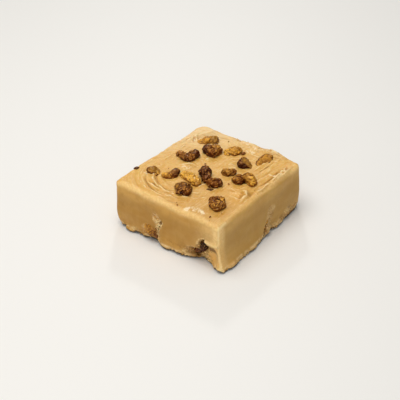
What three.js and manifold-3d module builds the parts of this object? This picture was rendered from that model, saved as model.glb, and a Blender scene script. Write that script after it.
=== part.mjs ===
import * as THREE from 'three';
import { mergeVertices } from 'three/addons/utils/BufferGeometryUtils.js';
import Module from 'manifold-3d';

// A knife-cut slice of walnut fudge with chopped walnuts pressed into its top
// Millimetres, +Z up, origin on the underside below the middle of the top
// The left face looks along -Y, the right face along +X, and they meet at the front corner

const DEG = Math.PI / 180;

// Slice
const slice = {
	width: 60.6, // along X
	depth: 64.6, // along Y
	height: 24.5,
	topRounding: { seen: 2.4, rear: 1.4 }, // left and right faces, and the two behind them
	cornerRounding: { front: 1.4, right: 3.2, back: 5.5, left: 2.2 },
	grid: { x: 23, y: 25, z: 10, crowding: 0.75 }, // surface squares, smaller towards the edges
	trimBelow: 2, // extra height that the flat underside cuts off
};

// The spread foot of the right face, thickest towards the front corner
const rightFoot = {
	height: 11,
	everywhere: 0.4,
	atFront: 2.1,
	fadeFrom: - 16,
	fadeTo: 3,
	tuck: 1.2, // how far it is drawn in at the right corner
	tuckFrom: 18,
};

// The sides swell a little above the foot, as soft fudge does under its own weight
const sag = { outwards: 0.7, at: 8, reach: 6.5 };

// The far face stands out towards the left corner, where its foot is drawn in
const leftCorner = { outwards: 1.1, from: - 32, to: 12, tuck: 2.3, tuckHeight: 9 };

// The back face bulges between its middle and the right corner
const backBulge = { outwards: 0.7, x: 12, reach: 13 };

// The left face steps outwards at its seam, and is drawn in on the other side of it
const leftFoot = {
	height: 10,
	seamX: - 4.6,
	seamWidth: 2.4,
	bulge: 1.2,
	bulgeEnd: 12,
	tuck: 0.9,
	tuckEnd: - 14,
};

// Low relief of the knife-spread top
const spread = {
	waves: 0.16,
	bank: { x: - 9.7, y: - 11.3, radius: 15.5, width: 2.6, height: 0.55, from: 200, to: 310 },
	backRidge: { x: - 22.7, y: 24.7, length: 6, width: 1.6, turn: 66, height: 0.9 },
	curl: { x: 22.7, y: - 4.5, length: 3.6, width: 1.5, turn: 50, height: 0.9 },
	frontSmear: { x: 10.8, y: - 25.8, length: 5.5, width: 2.6, turn: 12, height: 0.45 },
	rimMiddle: { x: 0.8, y: 31.7, length: 4.5, width: 2.4, turn: 0, height: 1.0 },
	rimRight: { x: 15.3, y: 31.7, length: 6, width: 3, turn: 0, height: 1.5 },
};

// Walnuts
const nutGap = 0.35; // between a walnut and the fudge it sits in
const nutBlend = 0.9; // how far two lobes run into each other
const nutFold = { height: 0.12, pitch: 1.9 }; // relief of the folds in a lobe
const cornerView = 39 * DEG; // the toppings are laid out as seen from the front corner

// Each topping: where it lies, how far its middle stands above the top, its lobes as
// [ right, away, up, radius ], how it is squashed, and its flat chopped faces
const toppings = [
	{
		name: 'walnut_crescent', at: [ - 16.6, 3.5 ], rise: 0.9, tone: 'dark', detail: 3,
		lobes: [ [ - 3.6, 2.0, 0.2, 1.5 ], [ - 1.4, - 0.4, 0, 2.1 ], [ 1.0, - 1.6, 0, 2.3 ], [ 3.5, 1.2, 0.3, 2.6 ] ],
	},
	{
		name: 'walnut_twin', at: [ - 9.5, 13.8 ], rise: 1.1, tone: 'dark',
		lobes: [ [ - 2.2, 1.2, 0, 2.7 ], [ 2.2, 0.4, 0.2, 2.9 ], [ 0, - 1.5, 0, 2.4 ] ],
	},
	{
		name: 'walnut_sunk', at: [ - 17.7, 21.2 ], rise: 0, tone: 'pale', squash: [ 1, 1, 0.7 ],
		lobes: [ [ - 3.2, - 0.6, 0, 2.0 ], [ - 0.2, 0.2, 0, 2.4 ], [ 2.9, 0.4, 0.4, 2.4 ] ],
	},
	{
		name: 'walnut_amber', at: [ - 1.8, 21.2 ], rise: 0.1, tone: 'amber', squash: [ 1, 1, 0.6 ],
		lobes: [ [ - 2.3, - 0.9, 0, 1.4 ], [ 0.1, 0, 0, 2.3 ], [ 2.0, 1.0, 0, 2.1 ] ],
	},
	{
		name: 'walnut_wedge', at: [ 10.3, 16.1 ], rise: 1.0, tone: 'dark',
		lobes: [ [ - 1.0, - 0.2, 0, 2.7 ], [ 1.9, - 1.2, 0, 1.9 ], [ - 0.4, 1.6, 0, 2.0 ] ],
		cuts: [ { facing: [ 0.55, 0.45, 0.7 ], at: 1.7 } ],
	},
	{
		name: 'walnut_oval', at: [ 14.6, 23.3 ], rise: 0.6, tone: 'amber',
		lobes: [ [ - 2.3, - 2.2, 0, 1.8 ], [ 0.1, 0, 0, 2.2 ], [ 2.2, 2.3, 0, 2.0 ] ],
		cuts: [ { facing: [ 0.25, - 0.35, 0.9 ], at: 1.35 } ],
	},
	{
		name: 'walnut_small', at: [ 8, 4.6 ], rise: 0.7, tone: 'brown',
		lobes: [ [ - 1.9, 0.2, 0, 2.0 ], [ - 0.1, - 0.4, 0, 1.8 ], [ 2.1, 0.3, 0.2, 1.5 ] ],
	},
	{
		name: 'walnut_split_left', at: [ 15.3, 3.2 ], rise: 0.8, tone: 'brown',
		lobes: [ [ 0, 0.8, 0, 1.9 ], [ 0, - 0.8, 0, 1.9 ] ],
	},
	{
		name: 'walnut_split_right', at: [ 19.5, 5.9 ], rise: 0.9, tone: 'pale',
		lobes: [ [ 0.3, 1.6, 0.3, 2.4 ], [ 1.2, - 2.0, 0, 2.2 ], [ - 0.8, 1.0, 0, 1.8 ] ],
	},
	{
		name: 'walnut_long', at: [ 5.2, - 5.7 ], rise: 1.0, tone: 'dark', detail: 3,
		lobes: [ [ - 2.5, 5.6, 1, 3 ], [ - 2, 0.8, 0.2, 2.4 ], [ 0.8, - 3.2, 0, 2.8 ], [ 3.4, - 2.8, 0.2, 2.2 ] ],
	},
	{
		name: 'walnut_pentagon', at: [ - 0.4, - 18.9 ], rise: 0.9, tone: 'brown', squash: [ 1, 1, 0.9 ],
		lobes: [
			[ - 2.2, 0.6, 0, 2 ], [ - 0.5, 2.2, 0, 2 ], [ 0, 0, 0, 2.3 ], [ 1.9, - 0.6, 0, 2 ],
			[ 1.3, - 2.9, - 0.1, 1.8 ],
		],
	},
	{
		name: 'walnut_heart', at: [ 19.2, - 18.7 ], rise: 1.0, tone: 'brown', detail: 3,
		lobes: [
			[ - 1.7, 2.3, 0, 2.1 ], [ 2.2, 2.6, 0, 1.6 ], [ 2, - 1.1, 0, 2 ], [ - 0.3, - 2.8, 0, 2.3 ],
			[ - 2.1, - 0.5, 0, 2.1 ],
		],
	},
	{
		name: 'walnut_striped', at: [ - 21.3, - 15.9 ], rise: 0.6, tone: 'pale',
		lobes: [ [ - 0.1, 0.8, 0, 2.3 ], [ - 2.0, 0.2, 0, 1.6 ], [ 2.0, - 1.1, 0, 1.5 ] ],
		cuts: [ { facing: [ 0.15, - 0.3, 0.94 ], at: 1.3 } ],
	},
	{
		name: 'walnut_hook', at: [ - 12.7, - 12.5 ], rise: 0.2, tone: 'amber',
		lobes: [ [ - 2.8, - 0.3, 0, 1.5 ], [ - 0.8, - 0.9, 0, 1.5 ], [ 1.3, - 0.4, 0.1, 1.4 ], [ 2.4, 2, 0.4, 1.3 ] ],
	},
	{
		name: 'walnut_cluster', at: [ - 3.4, - 9.9 ], rise: 0.2, tone: 'amber', squash: [ 1, 1, 0.75 ],
		lobes: [ [ - 3.1, 3.6, 0, 2.2 ], [ - 0.9, 1.4, 0, 2.8 ], [ 1.7, - 1.5, 0, 2.4 ], [ 2.6, - 3.7, 0, 1.8 ] ],
	},
];

// Walnuts that show in the cut faces: where each one is, and its lobes as [ x, y, z, radius ]
const faceNuts = [
	{
		name: 'walnut_left_face', at: [ - 8.9, - 31.3, 5.5 ], tone: 'pale', squash: [ 1, 0.7, 1 ],
		lobes: [ [ - 1.0, 0, 0.1, 2.7 ], [ 1.5, 0, - 0.3, 2.2 ] ],
	},
	{
		name: 'walnut_notch', at: [ 19.7, - 29, 8 ], tone: 'dark', squash: [ 1, 0.85, 1 ],
		lobes: [ [ 1.2, 0, 1.8, 2.8 ], [ - 2.6, 0, - 2.9, 2.2 ], [ - 0.6, 0, - 0.6, 2.3 ] ],
	},
	{
		name: 'walnut_right_face', at: [ 30.1, 3.6, 5.4 ], tone: 'pale', squash: [ 0.65, 1, 1.2 ],
		lobes: [ [ 0, - 0.8, - 1.2, 2.1 ], [ - 0.2, 0.9, 1.4, 1.7 ] ],
	},
	{
		name: 'walnut_back_face', at: [ 8.7, 32.6, 8.8 ], tone: 'brown', squash: [ 1.2, 0.7, 1 ],
		lobes: [ [ - 1.2, 0, 0.3, 2.3 ], [ 1.5, 0, - 0.5, 1.7 ] ],
	},
	{
		name: 'walnut_far_face', at: [ - 30.4, 9.9, 13.2 ], tone: 'pale', squash: [ 0.7, 1.2, 1 ],
		lobes: [ [ 0, - 1.0, - 0.3, 2.2 ], [ 0, 1.5, 0.5, 1.7 ] ],
	},
];

// What has broken out of the left face by the front corner, as rough hollows
const brokenFoot = [
	{ at: [ 18.8, - 35.8, 2 ], radii: [ 10.5, 7.7, 6 ] }, // scoop along the foot
	{ at: [ 21.3, - 33.3, 9.3 ], radii: [ 4.3, 4.4, 5 ] }, // notch above it
	{ at: [ 27.6, - 34.6, 7 ], radii: [ 5.4, 4.0, 7.2 ] }, // hollow slope down to the corner
	{ at: [ 32, - 34.7, 0.5 ], radii: [ 3.5, 3.4, 5.5 ] }, // broken tip of the corner
];

// Smaller hollows: under the left foot, in the left corner and in the right foot
const chips = [
	{ at: [ - 19.2, - 32.7, 0 ], radii: [ 3.2, 2.0, 1.7 ] },
	{ at: [ - 28.6, - 31.9, 18.9 ], radii: [ 1.3, 1.0, 1.2 ] },
	{ at: [ - 28.8, - 32, 13.7 ], radii: [ 1.1, 1.0, 1.6 ] },
	{ at: [ 33, - 26.7, 0 ], radii: [ 1.3, 1.8, 1.3 ] },
	{ at: [ 32.2, 34.6, - 0.6 ], radii: [ 4.0, 4.0, 3.4 ] },
];

// Crumbly seams in the cut faces, each following a few points down to below the underside
const seamRadius = 1.3;
const seams = [
	[ [ - 2.6, - 33, 13.6 ], [ - 4.1, - 33, 8 ], [ - 4.9, - 33.2, 3 ], [ - 4.1, - 33.2, - 2 ] ],
	[ [ 31, 7.2, 13.4 ], [ 31.1, 6.4, 9 ], [ 31.3, 2, 5.6 ], [ 31.4, 0.8, 2 ], [ 31.4, - 0.6, - 2 ] ],
	[ [ 5.4, 34, 13.6 ], [ 3.7, 33.9, 8 ], [ 4.7, 33.8, 4 ], [ 3.3, 33.5, - 2 ] ],
	[ [ - 31.6, 15, 17 ], [ - 31.4, 6.8, 10.4 ], [ - 31.3, 5.1, 5.2 ], [ - 31.1, 6.3, - 2 ] ],
];

const fudgeColor = '#d9ac6b';
const nutColor = { dark: '#4a2415', brown: '#7a4824', pale: '#b98a4c', amber: '#d59a35' };

const wasm = await Module();
wasm.setup();

function solidFrom( geometry ) {

	geometry.deleteAttribute( 'normal' );
	geometry.deleteAttribute( 'uv' );
	const merged = mergeVertices( geometry );
	const mesh = new wasm.Mesh( {
		numProp: 3,
		vertProperties: new Float32Array( merged.attributes.position.array ),
		triVerts: new Uint32Array( merged.index.array ),
	} );
	return new wasm.Manifold( mesh );

}

function geometryFrom( solid ) {

	const mesh = solid.getMesh();
	const geometry = new THREE.BufferGeometry();
	geometry.setAttribute( 'position', new THREE.BufferAttribute( mesh.vertProperties, 3 ) );
	geometry.setIndex( new THREE.BufferAttribute( mesh.triVerts, 1 ) );
	geometry.computeVertexNormals();
	return geometry;

}

function moveVertices( geometry, move ) {

	const position = geometry.attributes.position;
	const point = new THREE.Vector3();
	for ( let i = 0; i < position.count; i ++ ) {

		point.fromBufferAttribute( position, i );
		move( point );
		position.setXYZ( i, point.x, point.y, point.z );

	}

}

// A ball with folds in its surface, for a rough hollow
function roughBall( at, radii, wrinkle, detail ) {

	const geometry = new THREE.IcosahedronGeometry( 1, detail );
	const seed = at[ 0 ] * 0.9 + at[ 1 ] * 0.7 + radii[ 0 ];
	moveVertices( geometry, ( p ) => {

		const fold = Math.sin( 4.2 * p.x + 2.1 * p.z + seed ) * Math.sin( 3.7 * p.y - 2.6 * p.z + 2 * seed );
		const reach = 1 + wrinkle * fold;
		p.multiplyScalar( reach ).multiply( new THREE.Vector3( ...radii ) ).add( new THREE.Vector3( ...at ) );

	} );
	return solidFrom( geometry );

}

// The lesser of two distances, rounded where they are close to each other
function blend( a, b, reach ) {

	const close = Math.max( reach - Math.abs( a - b ), 0 ) / reach;
	return Math.min( a, b ) - close * close * reach / 4;

}

// Distance from a walnut's surface in the walnut's own frame, below zero inside
function nutDistance( p, { lobes, squash = [ 1, 1, 1 ], cuts = [] } ) {

	const thinnest = Math.min( ...squash );
	let distance = Infinity;
	for ( const [ x, y, z, radius ] of lobes ) {

		const away = Math.hypot( p.x / squash[ 0 ] - x, p.y / squash[ 1 ] - y, p.z / squash[ 2 ] - z );
		distance = blend( distance, ( away - radius ) * thinnest, nutBlend );

	}

	const { height, pitch } = nutFold;
	distance += height * Math.sin( pitch * ( p.x + 0.6 * p.z ) ) * Math.sin( pitch * ( p.y - 0.4 * p.x ) );
	for ( const { facing, at } of cuts ) {

		const normal = new THREE.Vector3( ...facing ).normalize();
		distance = Math.max( distance, normal.dot( p ) - at );

	}

	return distance;

}

// How far a walnut reaches from its middle along a direction
function nutReach( direction, nut, grow ) {

	const furthest = 9;
	const step = 0.15;
	const isOutside = ( reach ) => nutDistance( direction.clone().multiplyScalar( reach ), nut ) > grow;
	let inside = furthest;
	while ( inside > step && isOutside( inside ) ) inside -= step;
	let outside = inside + step;
	for ( let i = 0; i < 8; i ++ ) {

		const middle = ( inside + outside ) / 2;
		if ( isOutside( middle ) ) outside = middle;
		else inside = middle;

	}

	return inside;

}

// A walnut in its own frame, grown by the clearance when it is to cut its pocket
function nutGeometry( nut, grow ) {

	const geometry = new THREE.IcosahedronGeometry( 1, nut.detail ?? 2 );
	const extent = new THREE.Vector3();
	for ( const [ x, y, z, radius ] of nut.lobes ) {

		extent.max( new THREE.Vector3( Math.abs( x ) + radius, Math.abs( y ) + radius, Math.abs( z ) + radius ) );

	}

	moveVertices( geometry, ( p ) => {

		const direction = p.clone().multiply( extent ).normalize();
		p.copy( direction ).multiplyScalar( nutReach( direction, nut, grow ) );

	} );
	return geometry;

}

// Toppings are turned to the front corner and stand on the top, the others lie as the slice does
function nutMesh( nut, grow = 0 ) {

	const mesh = new THREE.Mesh( nutGeometry( nut, grow ), nutMaterial( nut.tone ) );
	mesh.name = nut.name;
	if ( 'rise' in nut ) {

		mesh.position.set( nut.at[ 0 ], nut.at[ 1 ], slice.height + nut.rise );
		mesh.rotation.z = cornerView;

	} else mesh.position.set( ...nut.at );

	mesh.updateMatrixWorld();
	return mesh;

}

function nutPocket( nut ) {

	const mesh = nutMesh( nut, nutGap );
	return solidFrom( mesh.geometry.applyMatrix4( mesh.matrixWorld ) );

}

function nutMaterial( tone ) {

	return new THREE.MeshStandardMaterial( { color: nutColor[ tone ], roughness: 0.5, metalness: 0 } );

}

function cornerRadius( x, y ) {

	const { front, right, back, left } = slice.cornerRounding;
	if ( x > 0 ) return y < 0 ? front : right;
	return y < 0 ? left : back;

}

// How far a point lies inside the rounded outline, and which way is out
function outlineInset( x, y ) {

	const radius = cornerRadius( x, y );
	const overX = Math.abs( x ) - ( slice.width / 2 - radius );
	const overY = Math.abs( y ) - ( slice.depth / 2 - radius );
	const out = new THREE.Vector2();
	if ( overX > 0 && overY > 0 ) {

		out.set( overX * Math.sign( x ), overY * Math.sign( y ) ).normalize();
		return { inset: radius - Math.hypot( overX, overY ), out };

	}

	if ( overX > overY ) out.set( Math.sign( x ), 0 );
	else out.set( 0, Math.sign( y ) );
	return { inset: radius - Math.max( overX, overY ), out };

}

// Moves an evenly spaced grid line nearer to the end that it is close to
function crowded( value, size ) {

	const quarterTurn = slice.grid.crowding * Math.PI / 2;
	return size / 2 * Math.sin( 2 * value / size * quarterTurn ) / Math.sin( quarterTurn );

}

// Turns the square corners of the outline into arcs
function roundCorners( p ) {

	const radius = cornerRadius( p.x, p.y );
	const innerX = slice.width / 2 - radius;
	const innerY = slice.depth / 2 - radius;
	const a = Math.abs( p.x ) - innerX;
	const b = Math.abs( p.y ) - innerY;
	if ( a <= 0 || b <= 0 ) return;
	const pull = Math.max( a, b ) / Math.hypot( a, b );
	p.x = Math.sign( p.x ) * ( innerX + a * pull );
	p.y = Math.sign( p.y ) * ( innerY + b * pull );

}

// Turns the edge between the top and the sides into an arc
function roundTopEdge( p ) {

	const { inset, out } = outlineInset( p.x, p.y );
	const { seen, rear } = slice.topRounding;
	const radius = THREE.MathUtils.lerp( rear, seen, smoothstep( - 0.6, 0.6, out.x - out.y ) );
	const a = radius - inset;
	const b = radius - ( slice.height - p.z );
	if ( a <= 0 || b <= 0 ) return;
	const pull = Math.max( a, b ) / Math.hypot( a, b );
	p.x -= out.x * a * ( 1 - pull );
	p.y -= out.y * a * ( 1 - pull );
	p.z = slice.height - radius + b * pull;

}

function smoothstep( from, to, value ) {

	return THREE.MathUtils.smoothstep( value, from, to );

}

// Share of a foot's spread at a height above the underside
function footShare( z, height ) {

	return Math.pow( 1 - THREE.MathUtils.clamp( z / height, 0, 1 ), 2 );

}

function rightSpread( y, z ) {

	const { height, everywhere, atFront, fadeFrom, fadeTo, tuck, tuckFrom } = rightFoot;
	const foot = everywhere + atFront * ( 1 - smoothstep( fadeFrom, fadeTo, y ) );
	return ( foot - tuck * smoothstep( tuckFrom, slice.depth / 2, y ) ) * footShare( z, height );

}

function leftSpread( x, z ) {

	const { height, seamX, seamWidth, bulge, bulgeEnd, tuck, tuckEnd } = leftFoot;
	const pastSeam = smoothstep( seamX - seamWidth / 2, seamX + seamWidth / 2, x );
	const outwards = bulge * pastSeam * ( 1 - smoothstep( seamX + seamWidth, bulgeEnd, x ) );
	const inwards = tuck * ( 1 - pastSeam ) * smoothstep( tuckEnd, seamX - seamWidth, x );
	return ( outwards - inwards ) * footShare( z, height );

}

function farSpread( y, z ) {

	const { outwards, from, to, tuck, tuckHeight } = leftCorner;
	return ( outwards - tuck * footShare( z, tuckHeight ) ) * ( 1 - smoothstep( from, to, y ) );

}

function backSpread( x ) {

	const { outwards, x: middle, reach } = backBulge;
	return outwards * Math.exp( - ( ( ( x - middle ) / reach ) ** 2 ) );

}

// Knife-cut sides are nearly flat, with a slow waviness
function sideWave( along, z ) {

	return 0.12 * Math.sin( 0.33 * along + 0.2 * z ) + 0.08 * Math.sin( 0.5 * z - 0.19 * along );

}

// How far a side stands out from the plain outline at a point, along the way out
function sideSpread( { x, y, z }, out ) {

	const own = Math.max( out.x, 0 ) * rightSpread( y, z ) + Math.max( - out.y, 0 ) * leftSpread( x, z )
		+ Math.max( - out.x, 0 ) * farSpread( y, z ) + Math.max( out.y, 0 ) * backSpread( x );
	const swell = sag.outwards * Math.exp( - ( ( ( z - sag.at ) / sag.reach ) ** 2 ) );
	return own + swell + sideWave( Math.abs( out.x ) > 0.5 ? y : x, z );

}

// A smooth mound, longer one way than the other
function mound( x, y, { x: cx, y: cy, length, width, turn, height } ) {

	const along = ( x - cx ) * Math.cos( turn * DEG ) + ( y - cy ) * Math.sin( turn * DEG );
	const across = ( y - cy ) * Math.cos( turn * DEG ) - ( x - cx ) * Math.sin( turn * DEG );
	return height * Math.exp( - ( ( along / length ) ** 2 ) - ( across / width ) ** 2 );

}

// The bank that the knife left round the end of its sweep
function spreadBank( x, y, { x: cx, y: cy, radius, width, height, from, to } ) {

	const reach = Math.hypot( x - cx, y - cy );
	const angle = ( Math.atan2( y - cy, x - cx ) / DEG + 360 ) % 360;
	const ends = smoothstep( from - 15, from + 15, angle ) * ( 1 - smoothstep( to - 15, to + 15, angle ) );
	return height * ends * Math.exp( - ( ( ( reach - radius ) / width ) ** 2 ) );

}

function topRelief( x, y ) {

	const { waves, bank, ...mounds } = spread;
	const rolling = waves * ( Math.sin( 0.31 * x + 0.12 * y ) + Math.sin( 0.27 * y - 0.16 * x + 1 ) );
	const raised = rolling + spreadBank( x, y, bank );
	return Object.values( mounds ).reduce( ( sum, shape ) => sum + mound( x, y, shape ), raised );

}

// The whole slice before anything is cut out of it
function sliceBlank() {

	const { width, depth, height, grid, trimBelow } = slice;
	const tall = height + trimBelow;
	const geometry = new THREE.BoxGeometry( width, depth, tall, grid.x, grid.y, grid.z );
	moveVertices( geometry, ( p ) => {

		p.set( crowded( p.x, width ), crowded( p.y, depth ), crowded( p.z, tall ) + height - tall / 2 );
		roundCorners( p );
		roundTopEdge( p );
		const { inset, out } = outlineInset( p.x, p.y );
		const onSide = 1 - smoothstep( 0, slice.topRounding.seen, inset );
		const outwards = sideSpread( p, out ) * onSide;
		if ( p.z > height / 2 ) p.z += topRelief( p.x, p.y ) * smoothstep( height - 4, height, p.z );
		p.x += out.x * outwards;
		p.y += out.y * outwards;

	} );
	const cutter = new THREE.BoxGeometry( 2 * width, 2 * depth, 2 * trimBelow );
	cutter.translate( 0, 0, - trimBelow );
	return solidFrom( geometry ).subtract( solidFrom( cutter ) );

}

// A ball drawn out along the points of a seam, knobbly on its way down
function seamHollow( points ) {

	const path = new THREE.CatmullRomCurve3( points.map( ( p ) => new THREE.Vector3( ...p ) ) );
	const geometry = new THREE.SphereGeometry( 1, 7, 16 );
	moveVertices( geometry, ( p ) => {

		const middle = path.getPointAt( THREE.MathUtils.clamp( ( 1 - p.y ) / 2, 0, 1 ) );
		const reach = seamRadius * ( 0.85 + 0.3 * Math.sin( 11 * p.y + points[ 0 ][ 0 ] ) );
		p.set( middle.x + reach * p.x, middle.y - reach * p.z, middle.z );

	} );
	return solidFrom( geometry );

}

function fudgeMesh() {

	const hollows = [
		...brokenFoot.map( ( { at, radii } ) => roughBall( at, radii, 0.04, 3 ) ),
		...chips.map( ( { at, radii } ) => roughBall( at, radii, 0.12, 1 ) ),
		...seams.map( seamHollow ),
		...toppings.map( nutPocket ),
		...faceNuts.map( nutPocket ),
	];
	const solid = hollows.reduce( ( rest, hollow ) => rest.subtract( hollow ), sliceBlank() );
	const material = new THREE.MeshStandardMaterial( { color: fudgeColor, roughness: 0.55, metalness: 0 } );
	const mesh = new THREE.Mesh( geometryFrom( solid ), material );
	mesh.name = 'fudge_slice';
	return mesh;

}

const walnutFudge = new THREE.Group();
walnutFudge.add( fudgeMesh() );
for ( const nut of [ ...toppings, ...faceNuts ] ) walnutFudge.add( nutMesh( nut ) );

export default walnutFudge;
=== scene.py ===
import math
from itertools import product
import bpy
import numpy as np
from mathutils import Matrix, Vector


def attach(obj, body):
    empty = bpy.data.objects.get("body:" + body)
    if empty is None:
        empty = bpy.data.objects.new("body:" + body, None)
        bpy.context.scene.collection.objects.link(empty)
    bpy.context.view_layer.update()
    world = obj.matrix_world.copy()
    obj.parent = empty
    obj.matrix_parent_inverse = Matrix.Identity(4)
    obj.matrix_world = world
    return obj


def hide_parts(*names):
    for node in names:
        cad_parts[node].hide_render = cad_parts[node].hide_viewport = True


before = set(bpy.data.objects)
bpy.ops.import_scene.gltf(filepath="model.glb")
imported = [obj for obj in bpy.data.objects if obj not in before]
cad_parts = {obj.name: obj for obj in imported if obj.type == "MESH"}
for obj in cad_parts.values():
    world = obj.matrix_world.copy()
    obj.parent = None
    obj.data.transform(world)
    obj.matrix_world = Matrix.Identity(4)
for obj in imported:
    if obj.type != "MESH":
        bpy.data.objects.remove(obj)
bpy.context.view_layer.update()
mm = 0.001

# Places and sizes are in millimetres. -Y is the cut face on the left of the view, +X the one on its right.


# Camera, lights and floor

view = {
    "place": (277.41, -347.77, 323.14),
    "aim": (-2.6, -4.45, 10.04),
    "roll": -1.0,
    "lens": 102.15,
}

studio = {
    "floor": "#eeedea", "floorReach": 2500, "floorDrop": 0.05,  # its drop keeps it clear of the slice
    "ambient": (1.0, 0.985, 0.955),
    "ambientStrength": 0.34,
    "lamps": {
        # name: place, size, power in watts, colour
        "topSoftbox": ((-70, -70, 600), 440, 2.6, (1.0, 0.98, 0.95)),
        "backLamp": ((-310, 380, 346), 50, 0.4, (1.0, 0.99, 0.96)),
        "leftFill": ((-380, -480, 330), 320, 0.14, (1.0, 0.98, 0.96)),
        "frontFill": ((200, -450, 150), 260, 0.38, (1.0, 0.98, 0.96)),
    },
}


def linearColor(text):
    parts = [int(text[i:i + 2], 16) / 255 for i in (1, 3, 5)]
    parts = [c / 12.92 if c <= 0.04045 else ((c + 0.055) / 1.055) ** 2.4 for c in parts]
    return (*parts, 1.0)


def addToScene(name, data):
    made = bpy.data.objects.new(name, data)
    bpy.context.scene.collection.objects.link(made)
    return made


def showPiece(name, mesh, node, material=None, replaces=False):
    if material:
        mesh.materials.append(material)
    piece = addToScene(name, mesh)
    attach(piece, "root")
    if replaces:
        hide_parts(node)


def setUpCamera():
    place, aim = Vector(view["place"]) * mm, Vector(view["aim"]) * mm
    forward = (aim - place).normalized()
    level = forward.cross(Vector((0, 0, 1))).normalized()
    upright = level.cross(forward)
    right, up = turned(level, upright, -view["roll"])
    lens = bpy.data.cameras.new("camera")
    lens.lens, lens.sensor_width, lens.clip_start = view["lens"], 36, 0.01
    camera = addToScene("camera", lens)
    camera.matrix_world = Matrix.Translation(place) @ Matrix((right, up, -forward)).transposed().to_4x4()
    bpy.context.scene.camera = camera


def setUpLights():
    bpy.context.scene.view_settings.view_transform = "Standard"  # food colours stay as they are
    for name, (place, size, power, color) in studio["lamps"].items():
        lamp = bpy.data.lights.new(name, "AREA")
        lamp.size, lamp.energy, lamp.color = size * mm, power, color
        holder = addToScene(name, lamp)
        holder.location = Vector(place) * mm
        holder.rotation_euler = (-Vector(place)).to_track_quat("-Z", "Y").to_euler()
    world = bpy.data.worlds.new("studio")
    bpy.context.scene.world = world
    world.use_nodes = True
    sky = world.node_tree.nodes["Background"]
    sky.inputs["Color"].default_value = (*studio["ambient"], 1)
    sky.inputs["Strength"].default_value = studio["ambientStrength"]


# Shader maths: a wire holds one socket, and Python's operators on it add Math nodes

class Wire:
    def __init__(self, nodes, socket):
        self.nodes, self.socket = nodes, socket

    def other(self, name):  # another output of the same node
        return Wire(self.nodes, self.socket.node.outputs[name])

    def maths(self, operation, *values):
        return self.nodes.add("ShaderNodeMath", {"operation": operation}, dict(enumerate(values)))

    def between(self, low, high):  # 0 below low, 1 above high, eased
        return self.nodes.add("ShaderNodeMapRange", {"interpolation_type": "SMOOTHSTEP"},
                              {"Value": self, "From Min": low, "From Max": high})


operations = {"add": "ADD", "sub": "SUBTRACT", "mul": "MULTIPLY", "truediv": "DIVIDE", "pow": "POWER"}
for sign, operation in operations.items():  # both forms of each, so that 1 - mask works too
    setattr(Wire, f"__{sign}__", lambda self, other, do=operation: self.maths(do, self, other))
    setattr(Wire, f"__r{sign}__", lambda self, other, do=operation: self.maths(do, other, self))


class Nodes:  # one tree; add makes a node, gives its settings, then fills or links its sockets
    def __init__(self, tree):
        self.tree = tree

    def add(self, kind, settings={}, sockets={}, output=None):
        made = self.tree.nodes.new(kind)
        for key, value in settings.items():
            setattr(made, key, value)
        for key, value in sockets.items():
            socket = made.inputs[key] if isinstance(key, int) else next(
                s for s in made.inputs if s.enabled and s.name == key)  # others of this name may be hidden
            if isinstance(value, Wire):
                self.tree.links.new(value.socket, socket)
            else:
                socket.default_value = value
        return Wire(self, next((s for s in made.outputs if s.enabled and output in (None, s.name)), None))


class Finish(Nodes):  # a material with its Principled shader and the patterns that feed it
    def __init__(self, name, **constants):
        self.material = bpy.data.materials.new(name)
        self.material.use_nodes = True
        super().__init__(self.material.node_tree)
        self.shader = self.tree.nodes["Principled BSDF"]
        for key, value in constants.items():
            self.shader.inputs[key.replace("_", " ")].default_value = value
        place = self.add("ShaderNodeTexCoord", output="Object")
        self.place = self.scaled(place, (1000, 1000, 1000))

    def axis(self, name):
        return self.add("ShaderNodeSeparateXYZ", {}, {0: self.place}, name)

    def scaled(self, vector, factors):
        return self.add("ShaderNodeVectorMath", {"operation": "MULTIPLY"}, {0: vector, 1: factors})

    def attributes(self, names, output="Fac"):
        return [self.add("ShaderNodeAttribute", {"attribute_name": name}, output=output)
                for name in names.split()]

    def noise(self, size, detail=2.0, roughness=0.5, stretch=(1, 1, 1), warp=0.0, vector=None):
        return self.add("ShaderNodeTexNoise", {}, {
            "Vector": vector or self.scaled(self.place, stretch), "Scale": 1 / size, "Detail": detail,
            "Roughness": roughness, "Distortion": warp})

    def mix(self, factor, a, b, blend="MIX"):
        a, b = (linearColor(color) if isinstance(color, str) else color for color in (a, b))
        return self.add("ShaderNodeMix", {"data_type": "RGBA", "blend_type": blend}, {
            "Factor": factor, "A": a, "B": b})

    def layered(self, color, *layers):  # each: a pattern, where it starts, where it is full, share, colour
        for pattern, low, high, share, over in layers:
            color = self.mix(pattern.between(low, high) * share, color, over)
        return color

    def bump(self, height, strength, distance, below=None):
        sockets = {"Height": height, "Strength": strength, "Distance": distance * mm}
        if below:
            sockets["Normal"] = below
        return self.add("ShaderNodeBump", {}, sockets)

    def feed(self, name, wire):
        self.tree.links.new(wire.socket, self.shader.inputs[name])


def makeFloor():
    finish = Finish("paleFloor", Base_Color=linearColor(studio["floor"]), Roughness=0.6)
    corners = studio["floorReach"] * np.array([(-1, -1, 0), (1, -1, 0), (1, 1, 0), (-1, 1, 0)])
    mesh = makeMesh("floor", corners, [(0, 1, 2, 3)])
    mesh.materials.append(finish.material)
    floor = addToScene("floor", mesh)
    floor.location.z = -studio["floorDrop"] * mm


# Soft shapes: distance fields in millimetres, below zero inside, meshed where they cross zero

lattice = np.random.default_rng(11).uniform(-1, 1, (32, 32, 32))


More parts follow.
